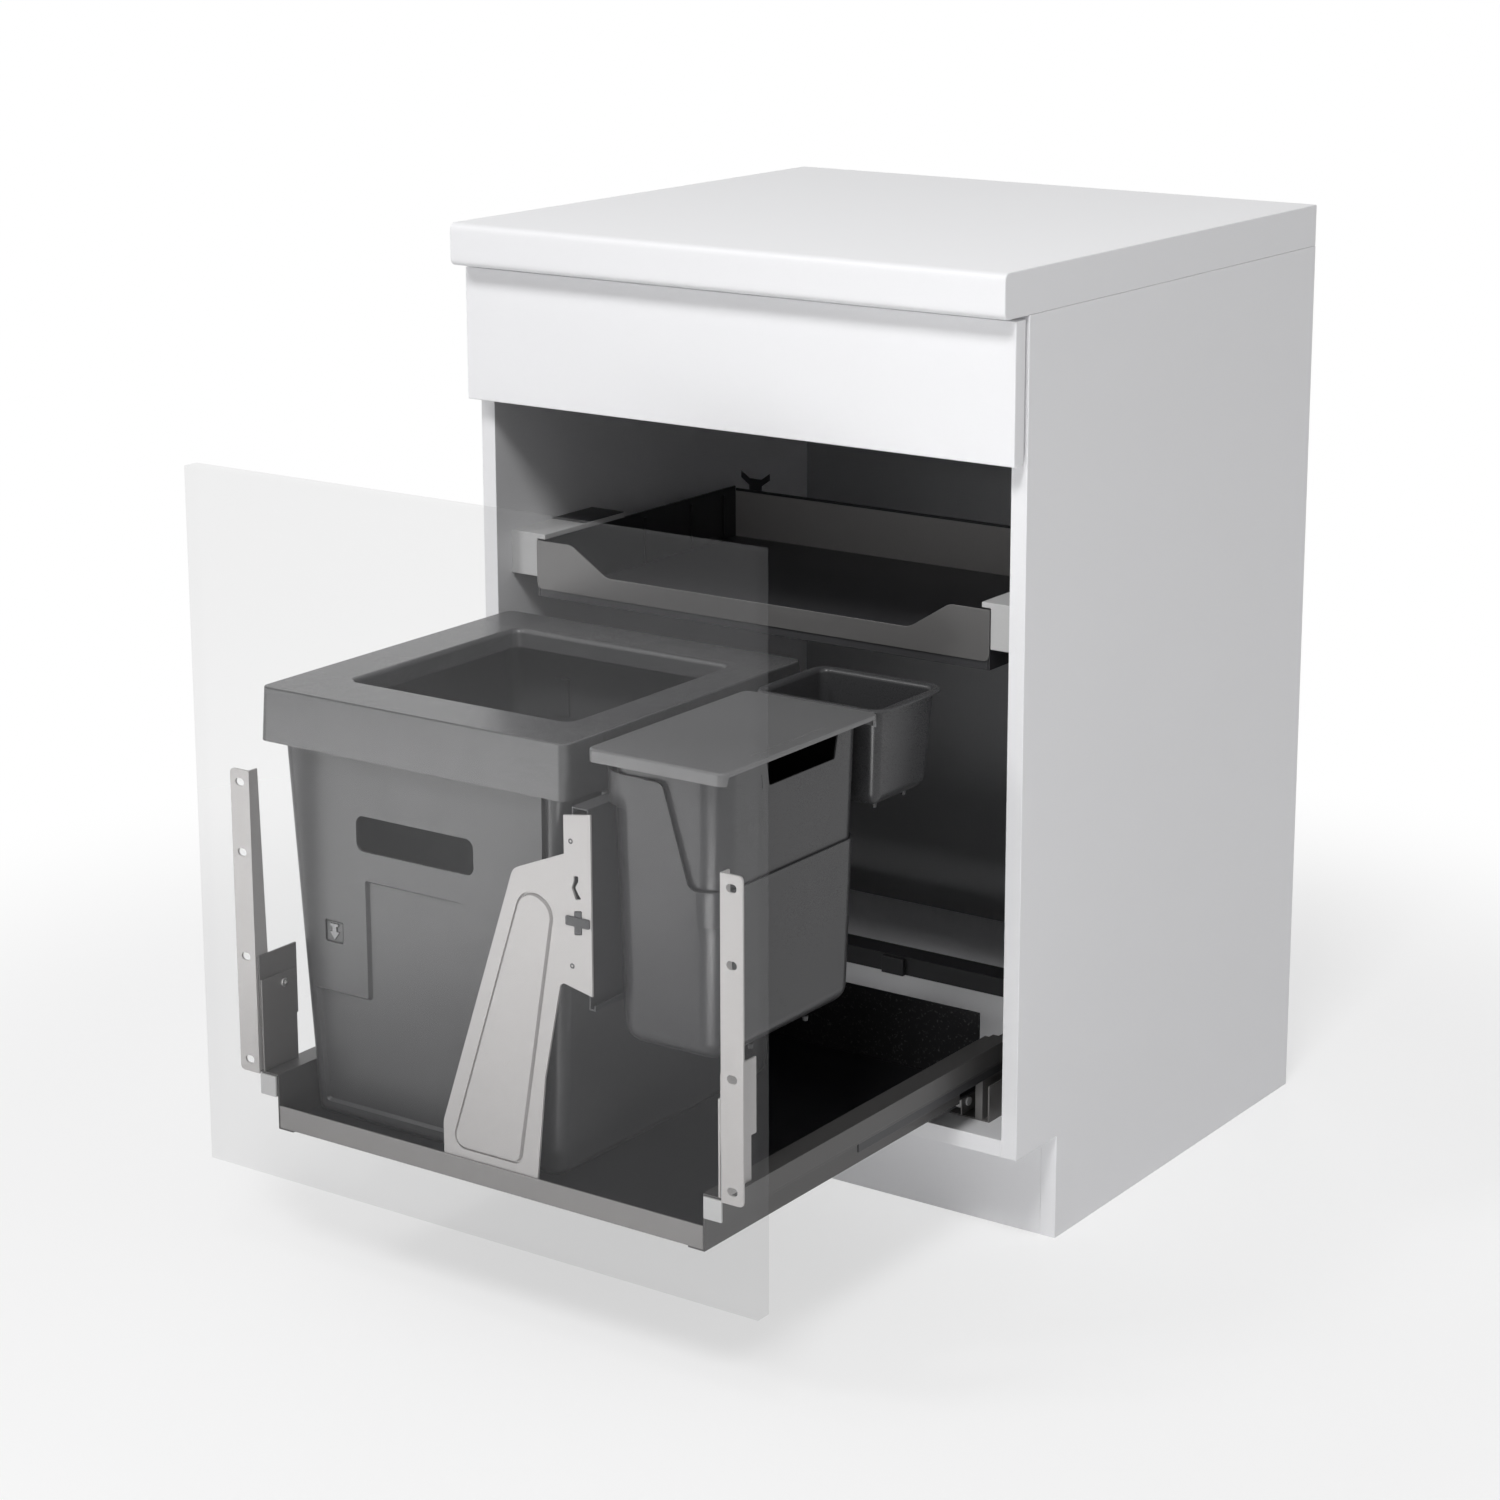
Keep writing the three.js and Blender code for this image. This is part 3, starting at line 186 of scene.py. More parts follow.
finishes = {
    # colour and how far it varies, roughness and how far that varies, grains per metre and
    # their depth in metres, clouds per metre
    "whiteLacquer": {"colour": (0.88, 0.88, 0.895), "spread": 0.012, "rough": 0.42,
        "roughSpread": 0.06, "grain": 900, "depth": 0.00004, "cloud": 3},
    # the same white board on its faces inside the cabinet, painted grey as painted shade: lighter
    # on the side panels, darker on the back panel
    "innerBoard": {"colour": (0.70, 0.70, 0.71), "spread": 0.03, "rough": 0.5, "roughSpread": 0.08,
        "grain": 900, "depth": 0.00004, "cloud": 4},
    "backBoard": {"colour": (0.30, 0.30, 0.31), "spread": 0.05, "rough": 0.5, "roughSpread": 0.08,
        "grain": 900, "depth": 0.00004, "cloud": 5},
    # the grey paint of the side channels and moving rails, darkened as painted shade under the
    # channels' hoods
    "channelPaint": {"colour": (0.082, 0.080, 0.079), "spread": 0.06, "rough": 0.38,
        "roughSpread": 0.08, "grain": 1500, "depth": 0.00005, "cloud": 8, "metal": 0.3},
    # grey paint, kept dark as painted shade: on the floor rails for the shade inside their U, and
    # on the left side plate and post as shaded copies of the bright steel on the right
    "greyPaintAndShade": {"colour": (0.16, 0.155, 0.152), "spread": 0.05, "rough": 0.4,
        "roughSpread": 0.08, "grain": 1500, "depth": 0.00006, "cloud": 9, "metal": 0.3},
    # the shelf front's steel, darkened as painted shade under the worktop
    "shelfSteel": {"colour": (0.155, 0.152, 0.15), "spread": 0.05, "rough": 0.36,
        "roughSpread": 0.08, "grain": 1500, "depth": 0.00005, "cloud": 6, "metal": 0.4},
    "brightSteel": {"colour": (0.455, 0.442, 0.437), "spread": 0.035, "rough": 0.42,
        "roughSpread": 0.08, "grain": 1600, "depth": 0.00006, "cloud": 7, "metal": 0.2,
        "gloss": 0.4},
    "railSteel": {"colour": (0.255, 0.248, 0.244), "spread": 0.04, "rough": 0.42,
        "roughSpread": 0.08, "grain": 1600, "depth": 0.00006, "cloud": 7, "metal": 0.2,
        "gloss": 0.4},
    # dark paint; on the support screws it is painted shade of the holes they sit in
    "darkPaintAndShade": {"colour": (0.045, 0.045, 0.048), "spread": 0.06, "rough": 0.42,
        "roughSpread": 0.1, "grain": 1500, "depth": 0.00006, "cloud": 9, "metal": 0.2},
    "greyPlastic": {"colour": (0.068, 0.068, 0.070), "spread": 0.05, "rough": 0.28,
        "roughSpread": 0.05, "grain": 1500, "depth": 0.000004, "cloud": 6, "gloss": 0.42},
    # the bins' grey plastic, darker on the holder, bucket and caddy as painted shade
    "shadedPlastic": {"colour": (0.044, 0.044, 0.046), "spread": 0.05, "rough": 0.28,
        "roughSpread": 0.05, "grain": 1500, "depth": 0.000004, "cloud": 7, "gloss": 0.34},
    # the bins' grey plastic, lighter on the lid as a painted reflection
    "lidSheenPlastic": {"colour": (0.138, 0.138, 0.140), "spread": 0.04, "rough": 0.3,
        "roughSpread": 0.05, "grain": 1500, "depth": 0.000004, "cloud": 8, "gloss": 0.5},
    # the bins' grey plastic, a little lighter on the frame as painted sheen
    "rimSheenPlastic": {"colour": (0.078, 0.078, 0.080), "spread": 0.05, "rough": 0.27,
        "roughSpread": 0.05, "grain": 1500, "depth": 0.000004, "cloud": 6, "gloss": 0.55},
    "signPlastic": {"colour": (0.27, 0.27, 0.275), "spread": 0.04, "rough": 0.3,
        "roughSpread": 0.05, "grain": 1500, "depth": 0.00001, "cloud": 20},
    "lightPlastic": {"colour": (0.50, 0.50, 0.50), "spread": 0.04, "rough": 0.45,
        "roughSpread": 0.08, "grain": 1200, "depth": 0.00008, "cloud": 12},
    "blackPlastic": {"colour": (0.022, 0.022, 0.024), "spread": 0.08, "rough": 0.42,
        "roughSpread": 0.1, "grain": 1300, "depth": 0.0001, "cloud": 10},
    "blackMat": {"colour": (0.010, 0.010, 0.011), "spread": 0.1, "rough": 0.34,
        "roughSpread": 0.06, "grain": 1800, "depth": 0.000008, "cloud": 5, "gloss": 0.35},
    "speckledBlack": {"colour": (0.012, 0.012, 0.013), "spread": 0.1, "rough": 0.5,
        "roughSpread": 0.1, "grain": 900, "depth": 0.0002, "cloud": 10, "gloss": 0.3,
        "speck": (0.07, 420)},
    "screwSteel": {"colour": (0.62, 0.62, 0.61), "spread": 0.05, "rough": 0.24,
        "roughSpread": 0.08, "grain": 2000, "depth": 0.00003, "cloud": 60, "metal": 0.85},
    "clearDoor": {"colour": (0.17, 0.17, 0.175), "spread": 0.02, "rough": 0.3, "roughSpread": 0.04,
        "grain": 900, "depth": 0.00002, "cloud": 3, "alpha": 0.085},
}


noiseDetail = {"cloud": 4, "grain": 2, "speck": 3}
grainShare = 0.5                    # of the grain in the colour, the clouds have the rest
noiseRange = (0.25, 0.75)           # most of a noise texture's values lie in here
speckRange = (0.6, 0.72)            # and only the tops of this one become light grains
firstColour, secondColour, mixedColour = 6, 7, 2      # sockets of a Mix node set to colours


def addNode(tree, kind, **values):
    node = tree.nodes.new(kind)
    for name, value in values.items():
        setattr(node, name, value)
    return node


def grainNoise(tree, scale, detail, source):
    noise = addNode(tree, "ShaderNodeTexNoise")
    noise.inputs["Scale"].default_value = scale
    noise.inputs["Detail"].default_value = detail
    tree.links.new(source, noise.inputs["Vector"])
    return noise.outputs["Fac"]


def spreadOf(tree, value, low, high):
    spread = addNode(tree, "ShaderNodeMapRange")
    spread.inputs["From Min"].default_value = noiseRange[0]
    spread.inputs["From Max"].default_value = noiseRange[1]
    spread.inputs["To Min"].default_value = low
    spread.inputs["To Max"].default_value = high
    tree.links.new(value, spread.inputs["Value"])
    return spread.outputs["Result"]


def makeFinish(name, look):
    material = bpy.data.materials.new(name)
    material.use_nodes = True
    tree = material.node_tree
    shader = tree.nodes["Principled BSDF"]
    place = addNode(tree, "ShaderNodeTexCoord").outputs["Object"]
    cloud = grainNoise(tree, look["cloud"], noiseDetail["cloud"], place)
    grain = grainNoise(tree, look["grain"], noiseDetail["grain"], place)
    both = addNode(tree, "ShaderNodeMath", operation="MULTIPLY_ADD")
    both.inputs[1].default_value = 1 - grainShare
    fine = addNode(tree, "ShaderNodeMath", operation="MULTIPLY")
    fine.inputs[1].default_value = grainShare
    tree.links.new(grain, fine.inputs[0])
    tree.links.new(cloud, both.inputs[0])
    tree.links.new(fine.outputs[0], both.inputs[2])
    shade = addNode(tree, "ShaderNodeMix", data_type="RGBA")
    dark = [c * (1 - look["spread"]) for c in look["colour"]]
    light = [min(1, c * (1 + look["spread"])) for c in look["colour"]]
    shade.inputs[firstColour].default_value = (*dark, 1)
    shade.inputs[secondColour].default_value = (*light, 1)
    tree.links.new(spreadOf(tree, both.outputs[0], 0, 1), shade.inputs[0])
    colour = shade.outputs[mixedColour]
    if "speck" in look:
        # light grains in the black, as in pressed granulate
        level, scale = look["speck"]
        grains = addNode(tree, "ShaderNodeMapRange")
        grains.inputs["From Min"].default_value = speckRange[0]
        grains.inputs["From Max"].default_value = speckRange[1]
        speck = grainNoise(tree, scale, noiseDetail["speck"], place)
        tree.links.new(speck, grains.inputs["Value"])
        specks = addNode(tree, "ShaderNodeMix", data_type="RGBA")
        specks.inputs[secondColour].default_value = (level, level, level, 1)
        tree.links.new(grains.outputs["Result"], specks.inputs[0])
        tree.links.new(colour, specks.inputs[firstColour])
        colour = specks.outputs[mixedColour]
    tree.links.new(colour, shader.inputs["Base Color"])
    low = look["rough"] - look["roughSpread"] / 2
    high = look["rough"] + look["roughSpread"] / 2
    tree.links.new(spreadOf(tree, both.outputs[0], low, high), shader.inputs["Roughness"])
    bump = addNode(tree, "ShaderNodeBump")
    bump.inputs["Strength"].default_value = 1
    bump.inputs["Distance"].default_value = look["depth"]
    tree.links.new(grain, bump.inputs["Height"])
    tree.links.new(bump.outputs["Normal"], shader.inputs["Normal"])
    shader.inputs["Metallic"].default_value = look.get("metal", 0)
    shader.inputs["Alpha"].default_value = look.get("alpha", 1)
    shader.inputs["Specular IOR Level"].default_value = look.get("gloss", 0.5)
    return material


paints = {name: makeFinish(name, look) for name, look in finishes.items()}
print("finishes are ready")


# shaping helpers, all in millimetres

cornerSteps = 7                     # parts of a ring's rounded corner
cornerPoints = cornerSteps + 1      # a ring has these for each of its four corners
footSteps = 6
edgeSegments = 2
frontWall, rightWall, backWall = 0, 1, 2      # each follows the corner with its number

bodies = frame["record"]["behaviour"]["bodies"]
bodyOfNode = {node: body for body, members in bodies.items() for node in members}


def pieceName(node):
    # a one-word name already belongs to the CAD node, so its piece is called a board
    first, *others = node.split("_")
    return first + "".join(word.capitalize() for word in others or ["board"])


def showPiece(name, form, node, finish, wall=0, edge=0, angle=35, scale=mm, standsFor=True):
    # the finished form becomes an object that stands for its CAD node, or is fixed to it
    bmesh.ops.scale(form, vec=(scale, scale, scale), verts=form.verts)
    mesh = bpy.data.meshes.new(name)
    form.to_mesh(mesh)
    form.free()
    mesh.polygons.foreach_set("use_smooth", [True] * len(mesh.polygons))
    piece = bpy.data.objects.new(name, mesh)
    scene.collection.objects.link(piece)
    mesh.materials.append(paints[finish])
    if wall:
        shell = piece.modifiers.new("wall", "SOLIDIFY")
        shell.thickness = wall * mm
        shell.offset = -1
        shell.use_even_offset = True
    if edge:
        bevel = piece.modifiers.new("softEdges", "BEVEL")
        bevel.width = edge * mm
        bevel.segments = edgeSegments
        bevel.limit_method = "ANGLE"
        bevel.angle_limit = math.radians(angle)
        bevel.use_clamp_overlap = True
        bevel.harden_normals = True
        # large flat faces stay flat in the shading, and only the rounds bend
        shading = piece.modifiers.new("flatShading", "WEIGHTED_NORMAL")
        shading.keep_sharp = True
    else:
        mesh.set_sharp_from_angle(angle=math.radians(angle))
    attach(piece, bodyOfNode[node])
    if standsFor:
        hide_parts(node)
    return piece


def roundedRing(x0, x1, y0, y1, radius, z):
    # a level rounded rectangle, from the front left corner and on round by the right
    ring = []
    corners = ((x0 + radius, y0 + radius, 180), (x1 - radius, y0 + radius, 270),
               (x1 - radius, y1 - radius, 0), (x0 + radius, y1 - radius, 90))
    for cx, cy, start in corners:
        for step in range(cornerPoints):
            turn = math.radians(start + 90 * step / cornerSteps)
            ring.append(Vector((cx + radius * math.cos(turn), cy + radius * math.sin(turn), z)))
    return ring


def grownRing(outline, out, z):
    x0, x1, y0, y1, radius = outline
    leastRadius = 0.4
    return roundedRing(x0 - out, x1 + out, y0 - out, y1 + out, max(radius + out, leastRadius), z)


def between(low, high, share):
    return [a + (b - a) * share for a, b in zip(low, high)]


def quarterTurn(steps):
    return [math.pi / 2 * step / steps for step in range(steps + 1)]


def placeLoop(form, points):
    # a closed loop of edges through the points
    verts = bmesh.ops.create_circle(form, cap_ends=False, radius=1, segments=len(points))["verts"]
    for vert, point in zip(verts, points):
        vert.co = point
    return verts


def loopEdges(verts):
    inside = set(verts)
    found = []
    for vert in verts:
        for edge in vert.link_edges:
            if edge.other_vert(vert) in inside and edge not in found:
                found.append(edge)
    return found


def vertsOf(geometry):
    return [part for part in geometry if isinstance(part, bmesh.types.BMVert)]


def growLoop(form, verts, points):
    # draws the loop's edges out to the next ring of points, in the same order
    grown = bmesh.ops.extrude_edge_only(form, edges=loopEdges(verts))["geom"]
    fresh = set(vertsOf(grown))
    ordered = []
    for vert in verts:
        others = [edge.other_vert(vert) for edge in vert.link_edges]
        ordered.append(next(other for other in others if other in fresh))
    for vert, point in zip(ordered, points):
        vert.co = point
    return ordered


def loft(form, rings):
    levels = [placeLoop(form, rings[0])]
    for ring in rings[1:]:
        levels.append(growLoop(form, levels[-1], ring))
    return levels


def capLoop(form, verts):
    return bmesh.ops.contextual_create(form, geom=loopEdges(verts))["faces"]


def footRings(low, high, bottom, top, foot):
    # rings from the flat bottom round the foot to the wall
    rings = []
    for turn in quarterTurn(footSteps):
        z = bottom + foot * (1 - math.cos(turn))
        outline = between(low, high, (z - bottom) / (top - bottom))
        rings.append(grownRing(outline, -foot * (1 - math.sin(turn)), z))
    return rings


def removeWall(form, lower, upper, index):
    # takes out the flat wall with that number, between two levels, and gives its corners
    first = index * cornerPoints + cornerSteps
    second = (first + 1) % len(lower)
    corners = {lower[first], lower[second], upper[first], upper[second]}
    face = next(f for f in lower[first].link_faces if set(f.verts) == corners)
    bmesh.ops.delete(form, geom=[face], context="FACES_ONLY")
    return [vert.co.copy() for vert in (lower[first], lower[second], upper[second], upper[first])]


def flatPoints(corners, axis=0):
    # the places as points (across, z) on a wall that runs along X or, with axis 1, along Y
    return [Vector((corner[axis], corner.z)) for corner in corners]


def wallPlace(corners, axis):
    # turns (across, z, depth) on a wall into a place, depth being towards the inside
    lowFirst, lowSecond, highSecond, highFirst = corners
    inward = (lowSecond - lowFirst).cross(highFirst - lowFirst).normalized() * -1

    def place(across, z, depth=0):
        share = (z - lowFirst.z) / (highFirst.z - lowFirst.z)
        left = lowFirst.lerp(highFirst, share)
        right = lowSecond.lerp(highSecond, share)
        along = (across - left[axis]) / (right[axis] - left[axis])
        return left.lerp(right, along) + inward * depth
    return place


def softCorners(points, steps=4):
    # a flat outline whose corners are rounded by their third number
    outline = []
    count = len(points)
    for index, point in enumerate(points):
        here = Vector(point[:2])
        radius = point[2] if len(point) > 2 else 0
        if not radius:
            outline.append(here)
            continue
        before = (Vector(points[index - 1][:2]) - here).normalized()
        after = (Vector(points[(index + 1) % count][:2]) - here).normalized()
        half = before.angle(after) / 2
        reach = radius / math.tan(half)
        centre = here + (before + after).normalized() * (radius / math.sin(half))
        start, end = here + before * reach - centre, here + after * reach - centre
        sweep = start.angle_signed(end)
        for step in range(steps + 1):
            turn = -sweep * step / steps
            x = start.x * math.cos(turn) - start.y * math.sin(turn)
            y = start.x * math.sin(turn) + start.y * math.cos(turn)
            outline.append(centre + Vector((x, y)))
    return outline


def shrunk(outline, distance):
    # the outline moved inwards; the points go anticlockwise
    leastLean = 0.4         # keeps sharp corners from running away
    moved = []
    count = len(outline)
    for index, point in enumerate(outline):
        before = (point - outline[index - 1]).normalized()
        after = (outline[(index + 1) % count] - point).normalized()
        normal = Vector((-before.y - after.y, before.x + after.x))
        normal.normalize()
        lean = max(leastLean, normal.dot(Vector((-before.y, before.x))))
        moved.append(point + normal * (distance / lean))
    return moved


def anticlockwise(outline):
    area = sum(a.x * b.y - b.x * a.y for a, b in zip(outline, outline[1:] + outline[:1]))
    return outline if area > 0 else outline[::-1]


def fillPanel(form, place, outline, features, depth=0):
    # a flat wall with stepped fields and openings: each feature is
    # {outline, depth, slope, inside: [features]}; without depth it stays open
    rim = placeLoop(form, [place(p.x, p.y, depth) for p in outline])
    edges = loopEdges(rim)
    for feature in features:
        shape = anticlockwise(softCorners(feature["outline"], feature.get("steps", 4)))
        edge = placeLoop(form, [place(p.x, p.y, depth) for p in shape])
        edges += loopEdges(edge)
        if "depth" in feature:
            inner = shrunk(shape, feature["slope"])
            deeper = depth + feature["depth"]
            growLoop(form, edge, [place(p.x, p.y, deeper) for p in inner])
            fillPanel(form, place, inner, feature.get("inside", []), deeper)
    bmesh.ops.triangle_fill(form, use_beauty=True, use_dissolve=False, edges=edges)


def closeForm(form, distance=0.01):
    bmesh.ops.remove_doubles(form, verts=form.verts, dist=distance)
    loose = [vert for vert in form.verts if not vert.link_faces]
    bmesh.ops.delete(form, geom=loose, context="VERTS")
    bmesh.ops.recalc_face_normals(form, faces=form.faces)


def faceOut(form, outside=(0, 0, -1)):
    # the face that lies furthest towards outside has to look that way
    away = Vector(outside)
    edgeFace = max(form.faces, key=lambda f: f.calc_center_median().dot(away))
    if edgeFace.normal.dot(away) < 0:
        bmesh.ops.reverse_faces(form, faces=form.faces)


def addBox(form, low, high, radius=0, segments=2):
    made = bmesh.ops.create_cube(form, size=1)["verts"]
    size = [b - a for a, b in zip(low, high)]
    middle = [(b + a) / 2 for a, b in zip(low, high)]
    bmesh.ops.scale(form, vec=size, verts=made)
    bmesh.ops.translate(form, vec=middle, verts=made)
    if radius:
        edges = list({edge for vert in made for edge in vert.link_edges})
        bmesh.ops.bevel(form, geom=edges, offset=radius, segments=segments, profile=0.5,
                        affect="EDGES", material=-1, clamp_overlap=True)


def addTurned(form, profile, centre, axis, steps=32):
    # a round part: the profile is (radius, height) from one pole to the other
    before = set(form.verts)
    verts = [form.verts.new((radius, 0, height)) for radius, height in profile]
    edges = [form.edges.new(pair) for pair in zip(verts, verts[1:])]
    bmesh.ops.spin(form, geom=verts + edges, cent=(0, 0, 0), axis=(0, 0, 1), dvec=(0, 0, 0),
                   angle=2 * math.pi, steps=steps, use_merge=True, use_duplicate=False)
    made = [vert for vert in form.verts if vert not in before]
    turn = Vector((0, 0, 1)).rotation_difference(Vector(axis)).to_matrix()
    bmesh.ops.rotate(form, cent=(0, 0, 0), matrix=turn, verts=made)
    bmesh.ops.translate(form, vec=centre, verts=made)


def addStrip(form, path, y0, y1):
    # a sheet that follows a path in X and Z, from y0 to y1
    verts = [form.verts.new((x, y0, z)) for x, z in path]
    edges = [form.edges.new(pair) for pair in zip(verts, verts[1:])]
    grown = bmesh.ops.extrude_edge_only(form, edges=edges)["geom"]
    bmesh.ops.translate(form, vec=(0, y1 - y0, 0), verts=vertsOf(grown))
    faces = [part for part in grown if isinstance(part, bmesh.types.BMFace)]
    form.normal_update()
    if faces[0].normal.z < 0:
        bmesh.ops.reverse_faces(form, faces=faces)


def addHook(form, look):
    # hangs over the beam, along the straight part of the left wall
    x0, x1, y0, y1, radius = look["high"]
    addStrip(form, look["hook"], y0 + radius, y1 - radius)


def addFeet(form, look):
    low, high, tall = look["footSize"]
    for x, y, z in look["feet"]:
        foot = bmesh.ops.create_cone(form, cap_ends=True, segments=16, radius1=low, radius2=high,
                                     depth=tall)["verts"]
        bmesh.ops.translate(form, vec=(x, y, z + tall / 2), verts=foot)


def paintFaces(piece, finish, chosen):
    # the chosen faces get a second finish
    piece.data.materials.append(paints[finish])
    for face in piece.data.polygons:
        if chosen(face):
            face.material_index = 1


print("shaping helpers are ready")


largeBin = {
    "low": (-227.7, 52, -410.75, -98.75, 13),
    "high": (-258, 62.5, -411.75, -83.75, 15),
    "bottom": 140.8, "top": 527.2, "foot": 9, "wall": 2.6,
    "grip": [(-168.5, 395, 8), (-37, 395, 8), (-37, 427.5, 8), (-168.5, 427.5, 8)],
    "field": [(-213, 154, 4), (-39, 154, 6), (-39, 369, 16), (-160, 369, 2), (-160, 260, 2),
              (-221, 260, 2)],
    "fieldDepth": 3.4, "fieldSlope": 2.2,
    "sign": [(-208, 305, 2), (-187, 305, 2), (-187, 325.5, 2), (-208, 325.5, 2)],
    "signDepth": 2.2, "signSlope": 0.15,
    "plateInset": 1.5, "plateRise": 1.0,        # the plate within the sign's groove
    "arrow": [(-202.2, 322.6), (-202.2, 320), (-199.9, 320), (-199.9, 315.2), (-203.2, 315.2),
              (-197.4, 307.3), (-191.6, 315.2), (-194.9, 315.2), (-194.9, 320), (-192.6, 320),
              (-192.6, 322.6)],
    "arrowRise": 1.2, "raisedSlope": 0.2,
    "catch": [(-200, -92, 441), (-184, -87, 477)],      # small block inside the rear wall
    "groove": [(36.4, 300, 1), (41.4, 300, 1), (46.6, 516, 1), (38.3, 516, 1)],
    "grooveDepth": 5, "grooveSlope": 0.3,
}


def makeLargeBin(look):
    form = bmesh.new()
    rings = footRings(look["low"], look["high"], look["bottom"], look["top"], look["foot"])
    rings.append(grownRing(look["high"], 0, look["top"]))
    levels = loft(form, rings)
    capLoop(form, levels[0])
    corners = removeWall(form, levels[-2], levels[-1], frontWall)
    place = wallPlace(corners, 0)
    # the sign is a small plate in a narrow groove, with a plain arrow raised on it
    sign = anticlockwise(softCorners(look["sign"]))
    arrow = {"outline": look["arrow"], "depth": -look["arrowRise"], "slope": look["raisedSlope"]}
    plate = {"outline": shrunk(sign, look["plateInset"]), "depth": -look["plateRise"],
             "slope": look["raisedSlope"], "inside": [arrow]}
    fillPanel(form, place, flatPoints(corners), [
        {"outline": look["grip"], "steps": 6},
        {"outline": look["field"], "depth": look["fieldDepth"], "slope": look["fieldSlope"]},
        {"outline": look["sign"], "depth": look["signDepth"], "slope": look["signSlope"],
         "inside": [plate]},
        {"outline": look["groove"], "depth": look["grooveDepth"], "slope": look["grooveSlope"]},
    ])
    closeForm(form)
    faceOut(form)
    addBox(form, *look["catch"])
    piece = showPiece("largeBin", form, "big_bin", "greyPlastic", wall=look["wall"], edge=0.45,
                      angle=28)
    # the arrow stands level with the wall, the rest of the sign lies deeper
    acrosses, heights = zip(*look["arrow"])

    def onArrow(face):
        x, y, z = face.center / mm
        if not (min(acrosses) < x < max(acrosses) and min(heights) < z < max(heights)):
            return False
        return y < place(x, z).y + look["arrowRise"] / 3
    paintFaces(piece, "signPlastic", onArrow)


binRim = {
    "skirt": (-269.5, 74, -423.2, -72.2, 10),
    "top": (-267, 71.5, -420.75, -74.75, 8.5),
    "opening": (-215, 29, -360.75, -128.75, 9),
    "skirtBottom": 482, "height": 530.5, "throatBottom": 513.2,
    "outerRound": 1.5, "outerSteps": 4, "innerRound": 4.5, "innerSteps": 6, "wall": 2.4,
}


def makeBinRim(look):
    form = bmesh.new()
    height, outer, inner = look["height"], look["outerRound"], look["innerRound"]
    rings = [grownRing(look["skirt"], 0, look["skirtBottom"])]
    for turn in quarterTurn(look["outerSteps"]):
        z = height - outer * (1 - math.sin(turn))
        rings.append(grownRing(look["top"], -outer * (1 - math.cos(turn)), z))
    for turn in quarterTurn(look["innerSteps"]):
        z = height - inner * (1 - math.cos(turn))
        rings.append(grownRing(look["opening"], inner * (1 - math.sin(turn)), z))
    rings.append(grownRing(look["opening"], 0, look["throatBottom"]))
    loft(form, rings)
    closeForm(form)
    faceOut(form, (0, -1, 0))
    showPiece("binFrame", form, "bin_frame", "rimSheenPlastic", wall=look["wall"], edge=0.4, angle=40)


smallHolder = {
    "low": (124.75, 228.75, -425.25, -226.25, 21),
    "high": (116.75, 236.75, -431.25, -220.25, 25),
    "bottom": 286, "top": 519, "foot": 16, "wall": 1.8,
    # the walls are cut low towards the right, and the left side widens at the shoulder
    "cut": 433, "cutLine": [(203.2, 433, 9), (178.5, 519, 7)],
    "shoulder": 490.3, "shoulderReach": 8, "shoulderSlope": 0.8,
    "bandBottom": 403, "bandProud": 1.8, "bandSlope": 0.6,
    "bandLine": [(186, 403, 9), (156, 503, 8), (160, 519)],
    "hook": [(109.5, 491.6), (97.2, 491.6), (97.2, 475)],
    "feet": [(221, -290, 283.6), (221, -370, 283.6), (135, -290, 283.6), (135, -370, 283.6)],
    "footSize": (2.2, 2.6, 4),      # radius below and above, height
}


def holderRing(look, z, proud=0, reach=0):
    share = (z - look["bottom"]) / (look["top"] - look["bottom"])
    x0, x1, y0, y1, radius = between(look["low"], look["high"], share)
    ring = roundedRing(x0, x1, y0, y1, radius, z)
    centre = Vector((x1 - radius, y0 + radius, z))
    for step in range(cornerPoints):
        # the band round the front right corner fades out towards the side
        away = (ring[cornerPoints + step] - centre).normalized()
        ring[cornerPoints + step] += away * proud * (1 - step / cornerSteps)
    for point in ring[-cornerSteps:] + ring[:cornerSteps]:
        point.x -= reach * min(1, (x0 + radius - point.x) / radius)
    return ring


def leftSide(ring):
    # the two left corners, from the back wall to the front wall
    return ring[-cornerPoints:] + ring[:cornerPoints]


def raiseLeftSide(form, look, side):
    # the left side goes on up to the top; gives its edges at the front and at the back
    frontEdge, backEdge = [side[-1].co.copy()], [side[0].co.copy()]
    shoulder, reach = look["shoulder"], look["shoulderReach"]
    for z, out in ((shoulder - look["shoulderSlope"], 0), (shoulder, reach), (look["top"], reach)):
        side = growLoop(form, side, leftSide(holderRing(look, z, 0, out)))
        frontEdge.append(side[-1].co.copy())
        backEdge.append(side[0].co.copy())
    return frontEdge, backEdge


def leftFirst(corners):
    # the back wall's corners start at the right
    first, second, third, fourth = corners
    return [first, second, third, fourth] if first.x < second.x else [second, first, fourth, third]


